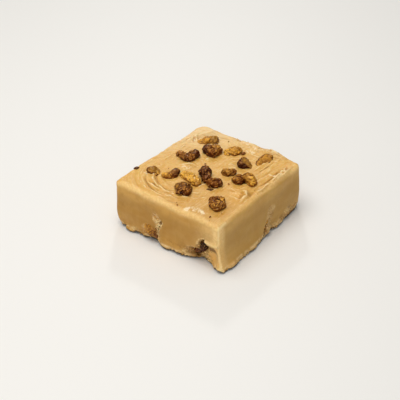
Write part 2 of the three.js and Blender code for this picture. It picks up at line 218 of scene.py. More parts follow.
def softNoise(p, size, seed=0):
    q = p / size + 5.37 * seed
    cell = np.floor(q).astype(int)
    f = q - cell
    f = f * f * (3 - 2 * f)
    sides = 1 - f, f
    total = 0
    for a, b, c in product((0, 1), repeat=3):
        corner = lattice[(cell[:, 0] + a) & 31, (cell[:, 1] + b) & 31, (cell[:, 2] + c) & 31]
        total = total + corner * (sides[a][:, 0] * sides[b][:, 1]) * sides[c][:, 2]
    return total


def roughNoise(p, size, seed=0):
    layers = (1, 1), (0.55, 0.47), (0.3, 0.21)
    return sum(share * softNoise(p, size * scale, seed + n) for n, (share, scale) in enumerate(layers))


def pebbles(p, size, seed=0):  # 0 between crumbs, 1 on their crowns
    q = p / size + 7.13 * seed
    cell = np.floor(q).astype(int)
    nearest = np.ones(len(p))
    for step in product((-1, 0, 1), repeat=3):
        corner = cell + step
        i, j, k = (corner & 31).T
        middle = corner + 0.5 + 0.5 * np.stack([lattice[i, j, k], lattice[j, k, i], lattice[k, i, j]], 1)
        nearest = np.minimum(nearest, np.sum((q - middle) ** 2, axis=1))
    return 1 - nearest


def ease(low, high, value):
    t = np.clip((value - low) / (high - low), 0, 1)
    return t * t * (3 - 2 * t)


def bell(value, width):  # 1 at zero, falling off on both sides
    return np.exp(-(value / width) ** 2)


def turned(x, y, degrees):
    turn = math.radians(degrees)
    return x * math.cos(turn) - y * math.sin(turn), x * math.sin(turn) + y * math.cos(turn)


def softMin(a, b, reach):
    close = np.maximum(reach - np.abs(a - b), 0) / reach
    return np.minimum(a, b) - close * close * reach / 4


def softMax(a, b, reach):
    return -softMin(-a, -b, reach)


def roundedMax(a, b, radius):  # two faces that meet in an edge of this radius
    u, v = a + radius, b + radius
    return np.minimum(np.maximum(u, v), 0) + np.hypot(np.maximum(u, 0), np.maximum(v, 0)) - radius


def surfaceNet(field, low, high, step):  # one point in each grid cell that the surface crosses
    counts = [int(math.ceil((b - a) / step)) + 1 for a, b in zip(low, high)]
    axes = [a + step * np.arange(n) for a, n in zip(low, counts)]
    grid = np.stack(np.meshgrid(*axes, indexing="ij"), -1).reshape(-1, 3)
    values = field(grid).reshape(counts)
    inside = values < 0
    spans = slice(None, -1), slice(1, None)
    corners = {key: tuple(spans[bit] for bit in key) for key in product((0, 1), repeat=3)}
    filled = sum(inside[c].astype(np.int8) for c in corners.values())
    mixed = (filled > 0) & (filled < 8)
    cells = np.argwhere(mixed)
    number = np.full(mixed.shape, -1)
    number[mixed] = np.arange(len(cells))
    held = {key: values[c][mixed] for key, c in corners.items()}
    total, crossings = np.zeros((len(cells), 3)), np.zeros(len(cells))
    for key, start in held.items():
        for axis in range(3):
            if key[axis]:
                continue
            end = held[tuple(1 if n == axis else bit for n, bit in enumerate(key))]
            crosses = (start < 0) != (end < 0)
            share = np.where(crosses, start / np.where(crosses, start - end, 1), 0)
            spot = np.array(key, float)[None] + share[:, None] * np.eye(3)[axis]
            total += np.where(crosses[:, None], spot, 0)
            crossings += crosses
    points = np.array(low) + step * (cells + total / crossings[:, None])
    faces = []
    for axis in range(3):  # one face round each grid edge that it crosses
        first, second = (axis + 1) % 3, (axis + 2) % 3
        here = np.moveaxis(inside, axis, 0)
        changes = np.moveaxis(here[:-1] != here[1:], 0, axis)
        edges = np.argwhere(changes)
        edges = edges[(edges[:, first] > 0) & (edges[:, second] > 0)]
        edges = edges[(edges[:, first] < counts[first] - 1) & (edges[:, second] < counts[second] - 1)]
        back = np.eye(3, dtype=int)
        quads = np.stack([number[tuple((edges - a * back[first] - b * back[second]).T)]
                          for a, b in ((1, 1), (0, 1), (0, 0), (1, 0))], 1)
        faces.append(np.where(inside[tuple(edges.T)][:, None], quads, quads[:, ::-1]))
    return points, np.concatenate(faces)


def settle(points, field, rounds=2, probe=0.05):  # onto the zero surface, and its normals
    for turn in range(rounds + 1):
        value = field(points)
        slope = np.stack([field(points + probe * axis) - value for axis in np.eye(3)], 1) / probe
        length = np.maximum(np.linalg.norm(slope, axis=1), 0.2)[:, None]
        if turn < rounds:
            points = points - slope / length * np.clip(value[:, None] / length, -0.2, 0.2)
    return points, slope / length


def makeMesh(name, points, faces, values=None, colors=None):
    mesh = bpy.data.meshes.new(name)
    mesh.from_pydata((points * mm).tolist(), [], faces if isinstance(faces, list) else faces.tolist())
    mesh.polygons.foreach_set("use_smooth", np.ones(len(mesh.polygons), bool))
    for kind, field, given in (("FLOAT", "value", values), ("FLOAT_COLOR", "color", colors)):
        for key, value in (given or {}).items():
            held = mesh.attributes.new(key, kind, "POINT").data
            held.foreach_set(field, value.astype(np.float32).ravel())
    mesh.update()
    return mesh


# The slice

fudge = {
    "width": 60.6, "depth": 64.6, "height": 24.5,
    "topRounding": {"seen": 2.4, "rear": 1.4},
    "corners": {"front": 1.4, "right": 3.2, "back": 5.5, "left": 2.2},
    "meshStep": 0.425, "meshFrom": (-33.5, -35, -0.8), "meshTo": (35, 35.2, 27.6),
    "sag": {"outwards": 0.7, "at": 8, "reach": 6.5},
    "rightFoot": {"height": 11, "everywhere": 0.4, "atFront": 3.2, "fade": (-10, 8),
                  "tuck": 1.2, "tuckFrom": 18},
    "leftCorner": {"outwards": 1.1, "fade": (-32, 12), "tuck": 2.3, "tuckHeight": 9},
    "backBulge": {"outwards": 0.7, "x": 12, "reach": 13},
    "leftFoot": {"height": 10, "seam": (-5.8, -3.4), "bulge": 1.2, "bulgeFade": (-2.2, 12),
                 "tuck": 0.9, "tuckFade": (-14, -7)},
    "bank": {"x": -9.7, "y": -11.3, "from": 200, "to": 305, "fade": 15},  # curved ridges round this spot
    "bankLines": [  # radius, width, height
        (12.2, 0.9, 0.35), (13.9, 0.7, 0.5), (15.6, 0.8, 0.3), (17.4, 1, 0.55), (19.3, 0.9, 0.2),
    ],
    "mounds": [
        # x, y, length, width, turn, height
        (-22.7, 24.7, 6, 1.6, 66, 0.9),  # ridge by the back corner
        (22.7, -4.5, 3.6, 1.5, 50, 0.7), (20.4, -6.1, 4.6, 5.4, 39, 0.38),  # the curl and the smear round it
        (12.4, -27.2, 5.5, 2.4, 12, 0.4),  # smear by the front edge
        (0.8, 31.7, 4.5, 2.4, 0, 1), (15.3, 31.7, 6, 3, 0, 1.5),  # rim at the back
        (4, 10.9, 1.9, 1.2, 40, 0.7), (7.6, 9.6, 1.7, 1.2, -20, 0.7), (-7.6, 8.2, 1.8, 1.4, 0, 0.5),  # lumps
        (-17.8, 5.2, 2.4, 1.3, 35, 1.5),  # in the crescent's curve
        (-11.5, -9, 1.8, 1.2, 40, 1), (-12.2, -2.6, 3.6, 2, 45, 0.5),  # in the hook's curve and behind it
        (17.3, 4.6, 1.6, 0.8, 120, -1.2),  # gap in the split nut
    ],
    "sweeps": [
        # half width, relief, points: passes of the knife, bands of fine streaks with a lip on both sides
        (2.8, 0.34, (-23.6, -14), (-21.6, -21.4), (-15.3, -25.2), (-7.9, -27.2), (0.2, -27), (7, -24)),
        (2.2, 0.26, (-19.5, -9.5), (-17.5, -17.5), (-10.5, -22), (-3, -22.6)),
        (2.9, 0.24, (22.8, -3), (23.8, 8), (24.2, 18), (23.4, 27.5)),
        (2.3, 0.22, (17, 9), (18.2, 17), (18, 27)),
        (2.6, 0.26, (-27, -6), (-27.2, 6), (-25.8, 17), (-22, 29)),
        (2, 0.2, (-22.4, -4), (-22.6, 8), (-20.4, 15)),
        (2.1, 0.24, (2, -20.8), (7.5, -18.6), (11.4, -12.5), (13, -4)),
        (2, 0.3, (27, -7.6), (22, -8), (17, -7.6), (13.4, -8.6)),
        (2.4, 0.26, (-4, 29.5), (6, 27), (14, 27.5), (22, 29.5)),
        (2.2, 0.22, (-13.4, -6), (-10, 0), (-6, 8), (-4, 17)), (1.8, 0.2, (-18, 27), (-11, 28.6), (-3, 25)),
        (1.9, 0.2, (0.4, 12.6), (3.4, 17.4), (9.4, 21.8)),
    ],
    "lines": [
        # height, width, points: single ridges, and grooves with a height below zero
        (0.6, 0.8, (-26.2, 15.5), (-25.5, 18.4), (-23.8, 23.6), (-20.8, 30.1)),
        (-0.45, 0.45, (-26.3, 20.4), (-24.3, 18.2), (-22.6, 15.8)),
        (0.35, 0.5, (-25.3, 21.1), (-23.2, 18.9), (-21.6, 16.5)),
        (0.35, 0.5, (-22.9, -19.4), (-20.5, -21.5), (-16.5, -24.1), (-9.5, -25.2)),
        (-0.35, 0.45, (-21.9, -20.3), (-18, -22.7), (-9, -23.4), (-3.9, -22.6)),
        (-0.4, 0.4, (-20.9, -22.7), (-14.2, -26.2), (-6.9, -27), (-0.1, -26.8)),
        (0.5, 0.6, (-15.4, -4.7), (-12.8, -2.3), (-10.7, 0.2), (-7.8, 1.1)),
        (-0.6, 0.42, (18.3, 10.9), (18.4, 16), (18.8, 20.4), (18.7, 26)),
        (0.7, 0.5, (23.6, 15), (25.6, 15.3), (26.2, 16.9)),
        (0.8, 0.6, (27.5, 11.5), (27.6, 16.6), (27.2, 19.1)),
        (0.8, 0.6, (26.7, 19.9), (26.8, 22.3), (25.9, 25.4)),
        (0.6, 0.55, (26.8, -0.2), (27.8, 3.1), (27.5, 7.4), (28.1, 11.5)),
        (0.55, 0.6, (28.8, 8), (28.9, 15), (28.6, 22), (27.6, 28)),
        (-0.5, 0.45, (25.6, 6), (25.9, 12), (25.4, 18), (24.8, 23)),
        (1.15, 1.2, (22.8, -3.1), (24.9, -4.8), (26.2, -7.4), (25.7, -9.8)),
        (-0.7, 0.6, (22, -4.8), (23.7, -6.4), (24.2, -8.8)),
        (0.35, 0.9, (24.4, -10.6), (21, -9.9), (17.6, -11.2)),
        (0.4, 0.6, (20.2, -3.4), (17.9, -5.3), (15.3, -6)),
        (0.45, 0.5, (7.2, 29.4), (9.5, 31), (14.1, 31.2), (18, 30.8)),
        (0.4, 0.4, (3.4, -12.6), (3.5, -10.4), (4.6, -8.6)),
        (-0.5, 0.4, (7.2, -11.8), (10.2, -11.2), (10.9, -9.6)),
    ],
    "pale": [
        # x, y, length, width, turn, amount: where the spread is smeared thin and glossy; its paler colour
        # there is partly painted sheen
        (10.3, -29.4, 2.2, 1.5, 50, 1.1), (13.2, -27.8, 4.9, 2.2, 14, 0.6),
        (17.6, -27.4, 1.8, 1.2, -30, 0.85), (-23.1, -19.2, 1.1, 0.8, 0, 1), (-11.6, -3.2, 4.2, 2.4, 44, 0.5),
        (-24.2, 18.6, 2.6, 1, 128, 0.7), (25.4, 15.4, 2.2, 0.7, 20, 0.9), (27.6, 19.5, 7, 1, 94, 0.85),
        (5.6, 26.8, 4.5, 2.2, 30, 0.55), (-1, 31, 4, 1.6, 0, 0.8), (13, 31, 8, 1.6, 0, 0.6),
        (5.8, 11.6, 2.6, 1.4, 40, 0.5), (25.2, -6.6, 3.4, 1.6, 118, 0.35), (20.4, -7, 3.6, 2.6, 20, 0.4),
        (3, -10, 2.6, 1, 62, 0.5), (-17.8, 5.2, 2.6, 1.5, 35, 0.6), (4.8, 29.6, 5, 1.8, 10, 0.5),
    ],
    "strokes": 0.22,  # fine relief along the knife's way
    "sweepShare": 1.3, "reliefSpread": 60,  # map steps, squared, over which the relief is told apart
    "hollows": [
        # place, radii, how crumbly
        ((19, -36.2, 2.6), (9.6, 7.4, 6.2), 0.55), ((21.5, -33.3, 9.3), (3.1, 4.6, 5.2), 0.5),
        ((25.8, -35.1, 7), (4.9, 4.8, 7.4), 0.25), ((30.8, -34.6, 0), (3.6, 2.6, 1.6), 0.3),
        ((-19.2, -32.9, 0), (3.4, 2.2, 2.2), 0.3), ((33, -26.7, 0), (1.3, 1.8, 1.3), 0.3),
        ((32.4, 34.8, -0.8), (3.6, 3.6, 2.6), 0.3), ((-10.4, -35, 4.6), (5.2, 2.6, 4.4), 0.5),
        ((-17.6, -33.4, 0.8), (2.8, 2.3, 2.2), 0.3),
    ],
    "folds": [
        # place, radii: folds of the fudge that stand a little out of the faces
        ((-2.6, -32.6, 7.4), (1.8, 1.4, 5.6)), ((-1.6, -32.8, 2.6), (2.8, 1.5, 2.9)),
        ((4.8, -32.7, 1.8), (4.2, 1.6, 2.4)), ((8.4, -32.2, 1.2), (3.6, 1.4, 1.8)),
        ((12.6, -30.7, 0.9), (3.2, 1.8, 1.7)), ((15.4, -29.5, 0.9), (2.4, 1.6, 1.4)),
        ((-15.2, -32.2, 2), (4.2, 1.1, 2)), ((-23.6, -31.9, 1.6), (4, 1, 1.7)),
        ((-5.8, -32.9, 14.2), (1.3, 0.8, 1.1)), ((-3.8, -32.9, 12.6), (1, 0.8, 1.5)),
        ((26, -32.8, 13.8), (3.6, 0.8, 0.7)), ((-22.2, -33.3, 0.9), (3.2, 1.3, 1.4)),
        ((0.4, -33.6, 0.8), (3, 1.2, 1.3)), ((32.9, -25.5, 0.9), (1.2, 4.2, 1.5)),
        ((31.5, 3.4, 3.2), (0.9, 2.2, 2.8)), ((31, 20, 4.4), (0.9, 1.8, 1.4)),
        ((30.7, 12.5, 1.6), (1.2, 4.2, 1.8)), ((31.9, -12, 0.9), (1.1, 5, 1.4)),
        ((7.2, 33, 5), (1.8, 1.2, 4.6)), ((-30.9, 8.6, 6), (1.2, 1.8, 4.8)),
    ],
    "foldBlend": 1.3,
    "warm": [
        # place, radii, amount: where the fudge is a warmer, lighter brown, partly its own golden colour and,
        # near the front corner and on the notch's slope, partly painted glow of light
        ((20.6, -6.2, 24.8), (7, 7, 2.5), 0.4), ((31.2, -31, 13), (2.2, 2.4, 11), 0.5),
        ((25.8, -31, 4.4), (3.4, 4, 4.4), 0.85), ((29.5, -33, 6), (2.2, 3, 9), 0.6),
        ((33, -27, 3.5), (3, 6, 4), 0.4),
    ],
    "lit": [
        # from, to, reach: painted highlights on sharp lips and edges that catch the light
        ((30, -31.4, 23.5), (30, -26.5, 24), 0.65), ((23.6, -33.4, 14.3), (29.4, -33.4, 13.3), 0.7),
        ((-1.6, -34, 2.2), (6, -34, 2), 0.5),
    ],
    "darkened": [
        # place, radii, amount: where the fudge is painted darker brown; in the notch, under its ledge and in
        # the foot's small hollows this is painted shade
        ((3, -33.5, 5), (3.4, 3, 2.6), 0.5), ((9, -33, 5.4), (4.4, 3, 2.8), 0.65),
        ((14.4, -32, 5.6), (3.2, 3, 3), 0.6), ((16.2, -30, 3.6), (3.8, 4, 2.4), 1.3),
        ((-17.4, -32, 1.2), (2.6, 2.4, 2), 1.2), ((19.6, -29, 7.6), (3.2, 5, 4.4), 1.3),
        ((25.2, -30.4, 9), (4.4, 3, 1.2), 1.5), ((21.8, -29.6, 5.6), (2.4, 3, 2.8), 0.8),
        ((-26.6, -32, 18.6), (2.4, 2, 1.8), 0.5), ((-26.9, -32, 13.2), (2.4, 2, 2.8), 0.5),
        ((-7, -32, 6), (2.2, 3, 4.2), 0.7), ((-16, -32.4, 2.8), (3.4, 3, 2.2), 0.55),
        ((30.9, 2.2, 3.4), (3, 1.8, 3.4), 0.7), ((31, 8.4, 10), (2, 1.6, 2.6), 0.7),
        ((31, 5.6, 6.4), (3, 2, 3.4), 0.6), ((31, 7, 1.6), (3, 4.6, 1.6), 0.55),
        ((31, 19.8, 3.6), (3, 3.2, 1.6), 0.6),
    ],
    "footBand": {"height": 3.2, "depth": 0.34},
    "contact": (1, 1.7),  # how far the bottom edge is drawn in
    "nutReach": 8.5, "nutMargin": 0.85,  # how far from a nut's middle it climbs, and how far inside it stays
    "seamRadius": 0.42,
    "seams": [
        ((-2.6, -33, 13.6), (-4.1, -33, 8), (-4.9, -33.2, 3), (-4.1, -33.2, -2)),
        ((31, 7.2, 13.4), (31.1, 6.4, 9), (31.3, 2, 5.6), (31.4, 0.8, 2), (31.4, -0.6, -2)),
        ((5.4, 34, 13.6), (3.7, 33.9, 8), (4.7, 33.8, 4), (3.3, 33.5, -2)),
        ((-31.2, 15, 17), (-31.4, 6.8, 10.4), (-31.3, 5.1, 5.2), (-31.1, 6.3, -2)),
    ],
    "crumbly": [
        # from, to, reach, how much
        ((-12.6, -32.5, 3.5), (-8.6, -32.5, 7), 2.8, 0.3), ((-6.4, -32.7, 14.6), (-4, -32.7, 11.6), 2.2, 1),
        ((-4.4, -32.8, 12), (-5, -33, 1), 1.9, 0.9), ((-3, -33.4, 0.8), (15, -33, 1.6), 1.8, 0.7),
        ((-27, -32, 0.6), (-12, -32.4, 1.2), 1.5, 0.6), ((-20, -32.2, 2.4), (-12, -32.4, 3), 2.4, 0.35),
        ((-29, -31.6, 20), (-29.4, -31.8, 8), 1.8, 0.25), ((24, -32.8, 14.4), (29.4, -32.4, 13), 0.9, 0.35),
        ((31, 7.4, 12.4), (31.2, 1.2, 0.6), 2.2, 1), ((31, 3, 2.4), (30.8, 10, 1.6), 2.6, 0.85),
        ((30.8, 10, 1.4), (30.4, 29, 2.6), 2.7, 0.8), ((30.8, 18.6, 4.8), (30.8, 21.4, 5.6), 1.9, 0.95),
        ((31, 9.6, 12.6), (31, 6, 8), 1.2, 0.7), ((33.6, -30, 0.6), (31.8, -3, 0.8), 1.7, 0.9),
        ((28.6, 1, 24.6), (28.4, 28, 25), 1.1, 0.4), ((-8, 31.2, 24.8), (24, 31.2, 25.6), 1.7, 0.5),
        ((5, 33.4, 12), (4, 33.2, 0), 2.4, 0.9), ((-24, 33, 1.2), (26, 33, 1.2), 1.8, 0.7),
        ((-31, 13, 15), (-31, 5.4, 0), 2.4, 0.9), ((-31, -26, 1), (-31, 28, 1.2), 1.8, 0.7),
    ],
    "crumbSizes": (1.9, 0.95),
}

# Walnuts. A topping stands on the top by its rise, and its lobes are (right, away, up, radius, tone) as
# seen from the front corner. A nut in a cut face has a full place, and its lobes lie along X, Y and Z.
# hug: how wide the fudge climbs it; smear: how much fudge is wiped over it; calm: how far its folds are
# evened out; squash: its factors along the axes; cuts: which way a broken face looks, and how far out it
# lies; flesh: the tone of that face; shownWay: the way its painted-lit side faces, the sides turned away
# getting painted shade.
walnuts = {
    "walnut_crescent": {
        "at": (-16.6, 3.5), "rise": 0.9, "smear": 0.1,
        "lobes": [(-3.8, 2.2, 0.2, 1.5, "tan"), (-2.3, 0.1, 0, 1.9, "brown"), (-0.3, -1.5, 0, 2.2, "umber"),
                  (1.7, -1.2, 0, 2.3, "brown"), (3.5, 1.2, 0.3, 2.6, "plum")],
    },
    "walnut_twin": {
        "at": (-9.5, 13.8), "rise": 1.1,
        "lobes": [(-2.3, 1.1, 0, 2.7, "plum"), (0.1, 1.3, 0.2, 2.3, "umber"), (2.4, 0.4, 0.2, 2.9, "tan"),
                  (0, -1.8, 0, 2.5, "brown")],
    },
    "walnut_sunk": {
        "at": (-17.7, 21.2), "rise": 0.2, "hug": 0.4, "smear": 0.45, "squash": (1, 1.2, 0.8),
        "lobes": [(-3.2, -0.6, -0.2, 2, "gold"), (-0.2, 0, 0, 2.4, "gold"), (2.9, 0.2, 0.3, 2.5, "olive")],
    },
    "walnut_amber": {
        "at": (-1.8, 20.8), "rise": 0.3, "hug": 0.4, "smear": 0.45, "squash": (1, 1.3, 0.7),
        "lobes": [(-2.6, -0.6, 0, 1.8, "honey"), (0.1, 0, 0, 2.5, "gold"), (2.1, 0.5, 0, 2.3, "gold")],
    },
    "walnut_wedge": {
        "at": (9.8, 15.2), "rise": 1, "hug": 0.3, "calm": 0.4,
        "lobes": [(-1.2, -0.4, 0, 2.9, "plum"), (2.3, -1, 0, 2, "umber"), (-0.4, 1.8, 0, 2.1, "brown")],
        "cuts": [((0.6, -0.05, 0.8), 1.2)], "flesh": "olive",
    },
    "walnut_oval": {
        "at": (14.6, 23.3), "rise": 0.6, "hug": 0.4, "calm": 0.6,
        "lobes": [(-2.5, -2.6, 0, 1.5, "umber"), (-1.3, -1.3, 0, 1.9, "umber"), (0, 0, 0, 2.1, "umber"),
                  (1.3, 1.2, 0, 2.1, "umber"), (2.4, 2.3, 0, 1.9, "umber")],
        "cuts": [((0.25, -0.45, 0.86), 0.7)], "flesh": "tan",
    },
    "walnut_small": {
        "at": (8, 4.6), "rise": 0.7, "smear": 0.1,
        "lobes": [(-1.9, 0.2, 0, 2, "tan"), (-0.1, -0.4, 0, 1.8, "tan"), (2.1, 0.3, 0.2, 1.5, "brown")],
    },
    "walnut_split_left": {
        "at": (15.1, 2.7), "rise": 0.8, "hug": 0.3,
        "lobes": [(0.6, 1.2, 0, 2.1, "tan"), (0.4, -0.9, 0, 2.3, "brown"), (-1.2, -0.3, 0, 2, "tan")],
    },
    "walnut_split_right": {
        "at": (19.2, 5.4), "rise": 0.9, "hug": 0.3, "smear": 0.15, "calm": 0.3,
        "lobes": [(-0.4, 2, 0.3, 2.4, "gold"), (0.4, 0, 0.1, 2.3, "tan"), (1.4, -2.4, 0, 2.3, "honey"),
                  (-1.3, 1.2, 0, 1.9, "umber")],
    },
    "walnut_long": {
        "at": (5.2, -5.7), "rise": 1,
        "lobes": [(-2.5, 5.4, 1, 3.1, "plum"), (-1.9, 0.8, 0.2, 2.5, "umber"), (0.8, -3.2, 0, 2.9, "brown"),
                  (3.4, -2.8, 0.2, 2.3, "umber")],
    },
    "walnut_pentagon": {
        "at": (-0.4, -18.9), "rise": 0.9, "hug": 0.3, "squash": (1, 1, 0.9),
        "lobes": [(-2.4, 0.8, 0, 2.2, "olive"), (-0.5, 2.4, 0, 2, "umber"), (0, 0, 0.1, 2.4, "plum"),
                  (1.9, 0.4, 0, 2.2, "olive"), (1.3, -3, 0, 2.2, "brown"), (-1.5, -2.1, 0, 2.2, "umber")],
    },
    "walnut_heart": {
        "at": (19.2, -18.7), "rise": 1, "hug": 0.3,
        "lobes": [(-1.6, 2.2, 0, 2.2, "brown"), (1.9, 2.4, 0, 1.8, "tan"), (2, -1.1, 0, 2, "tan"),
                  (-0.3, -2.8, 0, 2.3, "tan"), (-2.1, -0.5, 0, 2.1, "brown")],
    },
    "walnut_striped": {
        "at": (-21.3, -15.9), "rise": 0.6, "hug": 0.4, "smear": 0.1,
        "lobes": [(-0.1, 0.8, 0, 2.3, "brown"), (-2, 0.2, 0, 1.6, "umber"), (2, -1.1, 0, 1.5, "tan")],
        "cuts": [((0.15, -0.4, 0.9), 0.9)], "flesh": "olive",
    },
    "walnut_hook": {
        "at": (-12.7, -12.5), "rise": 0.2, "smear": 0.1, "calm": 0.4,
        "lobes": [(-3.5, -0.4, 0, 1.7, "honey"), (-1.7, -1, 0, 1.9, "gold"), (0.4, -0.9, 0.1, 1.9, "brown"),
                  (1.6, 0.5, 0.4, 1.8, "plum"), (1.9, 1.8, 0.6, 1.4, "plum")],
    },
    "walnut_cluster": {
        "at": (-3.4, -9.9), "rise": 0.3, "hug": 0.4, "smear": 0.4, "squash": (1, 1, 0.8),
        "lobes": [(-3.2, 3.8, 0, 2.2, "honey"), (-0.9, 1.4, 0, 2.9, "honey"), (1.7, -1.5, 0, 2.5, "honey"),
                  (2.8, -4, 0.2, 2, "gold")],
    },
    "walnut_left_face": {
        "at": (-9.3, -31.8, 5.5), "hug": 0.3, "smear": 0.45, "squash": (1, 0.75, 1),
        "lobes": [(-1.2, -0.2, 0, 3, "tan"), (1.6, 0, -0.4, 2.1, "brown"), (-1.4, 0.2, 1.5, 2, "olive")],
        "shownWay": (-0.2, -0.8, 0.56),
    },
    "walnut_notch": {
        "at": (18.9, -29.2, 7.6), "hug": 0.3, "squash": (1, 0.85, 1), "shownWay": (0, -0.8, 0.6),
        "lobes": [(0.4, 0.1, 2.2, 2.9, "dark"), (-2.4, -0.4, -2.7, 2.1, "umber"),
                  (-0.4, -0.2, -0.6, 2.4, "plum")],
    },
    "walnut_right_face": {
        "at": (30.1, 3.6, 5.4), "hug": 0.4, "smear": 0.4, "squash": (0.65, 1, 1.2), "shownWay": (0.8, 0, 0.6),
        "lobes": [(0, -0.8, -1.2, 2.1, "tan"), (-0.2, 0.9, 1.4, 1.7, "olive")],
    },
    "walnut_back_face": {
        "at": (8.7, 32.6, 8.8), "hug": 0.4, "smear": 0.2, "squash": (1.2, 0.7, 1),
        "lobes": [(-1.2, 0, 0.3, 2.3, "brown"), (1.5, 0, -0.5, 1.7, "umber")],
    },
    "walnut_far_face": {
        "at": (-30.4, 9.9, 13.2), "hug": 0.4, "smear": 0.3, "squash": (0.7, 1.2, 1),
        "lobes": [(0, -1, -0.3, 2.2, "gold"), (0, 1.5, 0.5, 1.7, "tan")],
    },
}

# What a walnut has where its own entry doesn't say
plainWalnut = {"hug": 0.35, "smear": 0, "squash": (1, 1, 1), "cuts": [], "shownWay": (-0.15, -0.3, 0.94)}
walnuts = {name: {**plainWalnut, **nut} for name, nut in walnuts.items()}

walnutLook = {
    "toneColors": {
        # dark is the notch nut's plum skin, darkened further as painted shade of the ledge over it
        "dark": "#34160a", "plum": "#582208", "umber": "#723a0b", "brown": "#8a4e12", "olive": "#8e6018",
        "tan": "#ac762c", "gold": "#b67c20", "honey": "#dca640",
    },
    "viewTurn": 39,  # degrees from X and Y to a topping's right and away
    "meshStep": 0.22,
    "lobeBlend": 1.9,
    "foldSize": 1.6, "foldWidth": 0.13, "foldDepth": 0.4,
    "valleySize": 1.7, "valleyDepth": 0.42,
    "lumps": 0.3,
}


def outline(x, y):
    corner = fudge["corners"]
    radius = np.where(x > 0, np.where(y < 0, corner["front"], corner["right"]),
                      np.where(y < 0, corner["left"], corner["back"]))
    overX = np.abs(x) - (fudge["width"] / 2 - radius)
    overY = np.abs(y) - (fudge["depth"] / 2 - radius)
    atCorner = (overX > 0) & (overY > 0)
    reach = np.maximum(np.hypot(overX, overY), 1e-6)
    away = np.where(atCorner, reach, np.maximum(overX, overY)) - radius
    outX = np.where(atCorner, overX / reach, overX > overY) * np.sign(x)
    outY = np.where(atCorner, overY / reach, overX <= overY) * np.sign(y)
    return away, outX, outY, np.minimum(overX, overY)


def footShare(z, height):
    return (1 - np.clip(z / height, 0, 1)) ** 2


def sideSpread(x, y, z, outX, outY):
    right, left, far, back, sag = (
        fudge[key] for key in ("rightFoot", "leftFoot", "leftCorner", "backBulge", "sag"))
    rightOut = right["everywhere"] + right["atFront"] * (1 - ease(*right["fade"], y))
    rightOut = rightOut - right["tuck"] * ease(right["tuckFrom"], fudge["depth"] / 2, y)
    rightOut = rightOut * footShare(z, right["height"])
    pastSeam = ease(*left["seam"], x)
    leftOut = left["bulge"] * pastSeam * (1 - ease(*left["bulgeFade"], x))
    leftOut = leftOut - left["tuck"] * (1 - pastSeam) * ease(*left["tuckFade"], x)
    leftOut = leftOut * footShare(z, left["height"])
    farOut = far["outwards"] - far["tuck"] * footShare(z, far["tuckHeight"])
    farOut = farOut * (1 - ease(*far["fade"], y))
    backOut = back["outwards"] * bell(x - back["x"], back["reach"])
    own = (np.maximum(outX, 0) * rightOut + np.maximum(-outY, 0) * leftOut
           + np.maximum(-outX, 0) * farOut + np.maximum(outY, 0) * backOut)
    along = np.where(np.abs(outX) > 0.5, y, x)
    wave = 0.12 * np.sin(0.33 * along + 0.2 * z) + 0.08 * np.sin(0.5 * z - 0.19 * along)
    return own + wave + sag["outwards"] * bell(z - sag["at"], sag["reach"])


def mound(x, y, cx, cy, length, width, turn, height):
    along, across = turned(x - cx, y - cy, -turn)
    return height * bell(along, length) * bell(across, width)


def knifeStrokes(x, y):  # round the bank on the left, straight along Y on the right
    bank = fudge["bank"]
    reach = np.hypot(x - bank["x"], y - bank["y"])
    angle = np.arctan2(bank["y"] - y, bank["x"] - x)
    flat = np.zeros_like(x)
    onLeft = ease(6, -12, x + 0.25 * y)
    rise = 0
    for size, share in ((1.5, 0.7), (0.75, 0.5)):
        curved = softNoise(np.stack([reach, angle * 3, flat], 1), size, 3)
        straight = softNoise(np.stack([x + 1.5 * np.sin(0.1 * y), y / 7, flat], 1), size, 4)
        rise = rise + share * (curved * onLeft + straight * (1 - onLeft))
    return rise


def plainTop(x, y):
    bank = fudge["bank"]
    rise = 0.16 * (np.sin(0.31 * x + 0.12 * y) + np.sin(0.27 * y - 0.16 * x + 1))
    reach = np.hypot(x - bank["x"], y - bank["y"])
    angle = np.degrees(np.arctan2(y - bank["y"], x - bank["x"])) % 360
    start, end, fade = bank["from"], bank["to"], bank["fade"]
    ends = ease(start - fade, start + fade, angle) * (1 - ease(end - fade, end + fade, angle))
    wobble = 0.35 * np.sin(np.radians(angle) * 5) + 0.2 * np.sin(np.radians(angle) * 11)
    for radius, width, height in fudge["bankLines"]:
        rise += ends * height * bell(reach + wobble - radius, width)
    for shape in fudge["mounds"]:
        rise += mound(x, y, *shape)
    return fudge["height"] + rise


def alongCurve(points, count):  # evenly numbered points of a Catmull-Rom curve
    points = [np.array(p, float) for p in points]
    points = [2 * points[0] - points[1], *points, 2 * points[-1] - points[-2]]
    made = []
    for i in range(1, len(points) - 2):
        a, b, c, d = points[i - 1:i + 3]
        for t in np.linspace(0, 1, count, endpoint=False):
            made.append(0.5 * (2 * b + (c - a) * t + (2 * a - 5 * b + 4 * c - d) * t * t
                               + (3 * b - a - 3 * c + d) * t ** 3))
    return np.array(made)


def followPath(x, y, points, margin):  # the spots near a path, how far along it and how far to its side
    path = alongCurve(points, 14)
    low, high = path.min(0) - margin, path.max(0) + margin
    near = np.flatnonzero((x > low[0]) & (x < high[0]) & (y > low[1]) & (y < high[1]))
    spots = np.stack([x[near], y[near]], 1)
    squared = np.sum((spots[:, None] - path[None]) ** 2, axis=2)
    closest = squared.argmin(1)
    way = np.gradient(path, axis=0)
    way /= np.linalg.norm(way, axis=1, keepdims=True)
    gap = spots - path[closest]
    aside = gap[:, 1] * way[closest, 0] - gap[:, 0] * way[closest, 1]
    thin = np.sqrt(np.sin(np.linspace(0.12, math.pi - 0.12, len(path))))[closest]
    return near, spots, 0.4 * closest, aside, np.sqrt(squared.min(1)), thin


def drawLine(relief, x, y, height, width, points):  # a ridge or groove that thins out at both ends
    near, spots, _, _, away, thin = followPath(x, y, points, 2.2)
    ragged = 1.25 + 0.7 * softNoise(np.pad(spots, ((0, 0), (0, 1))), 1.5, 6)
    relief[near] += height * thin * ragged * bell(away, width)


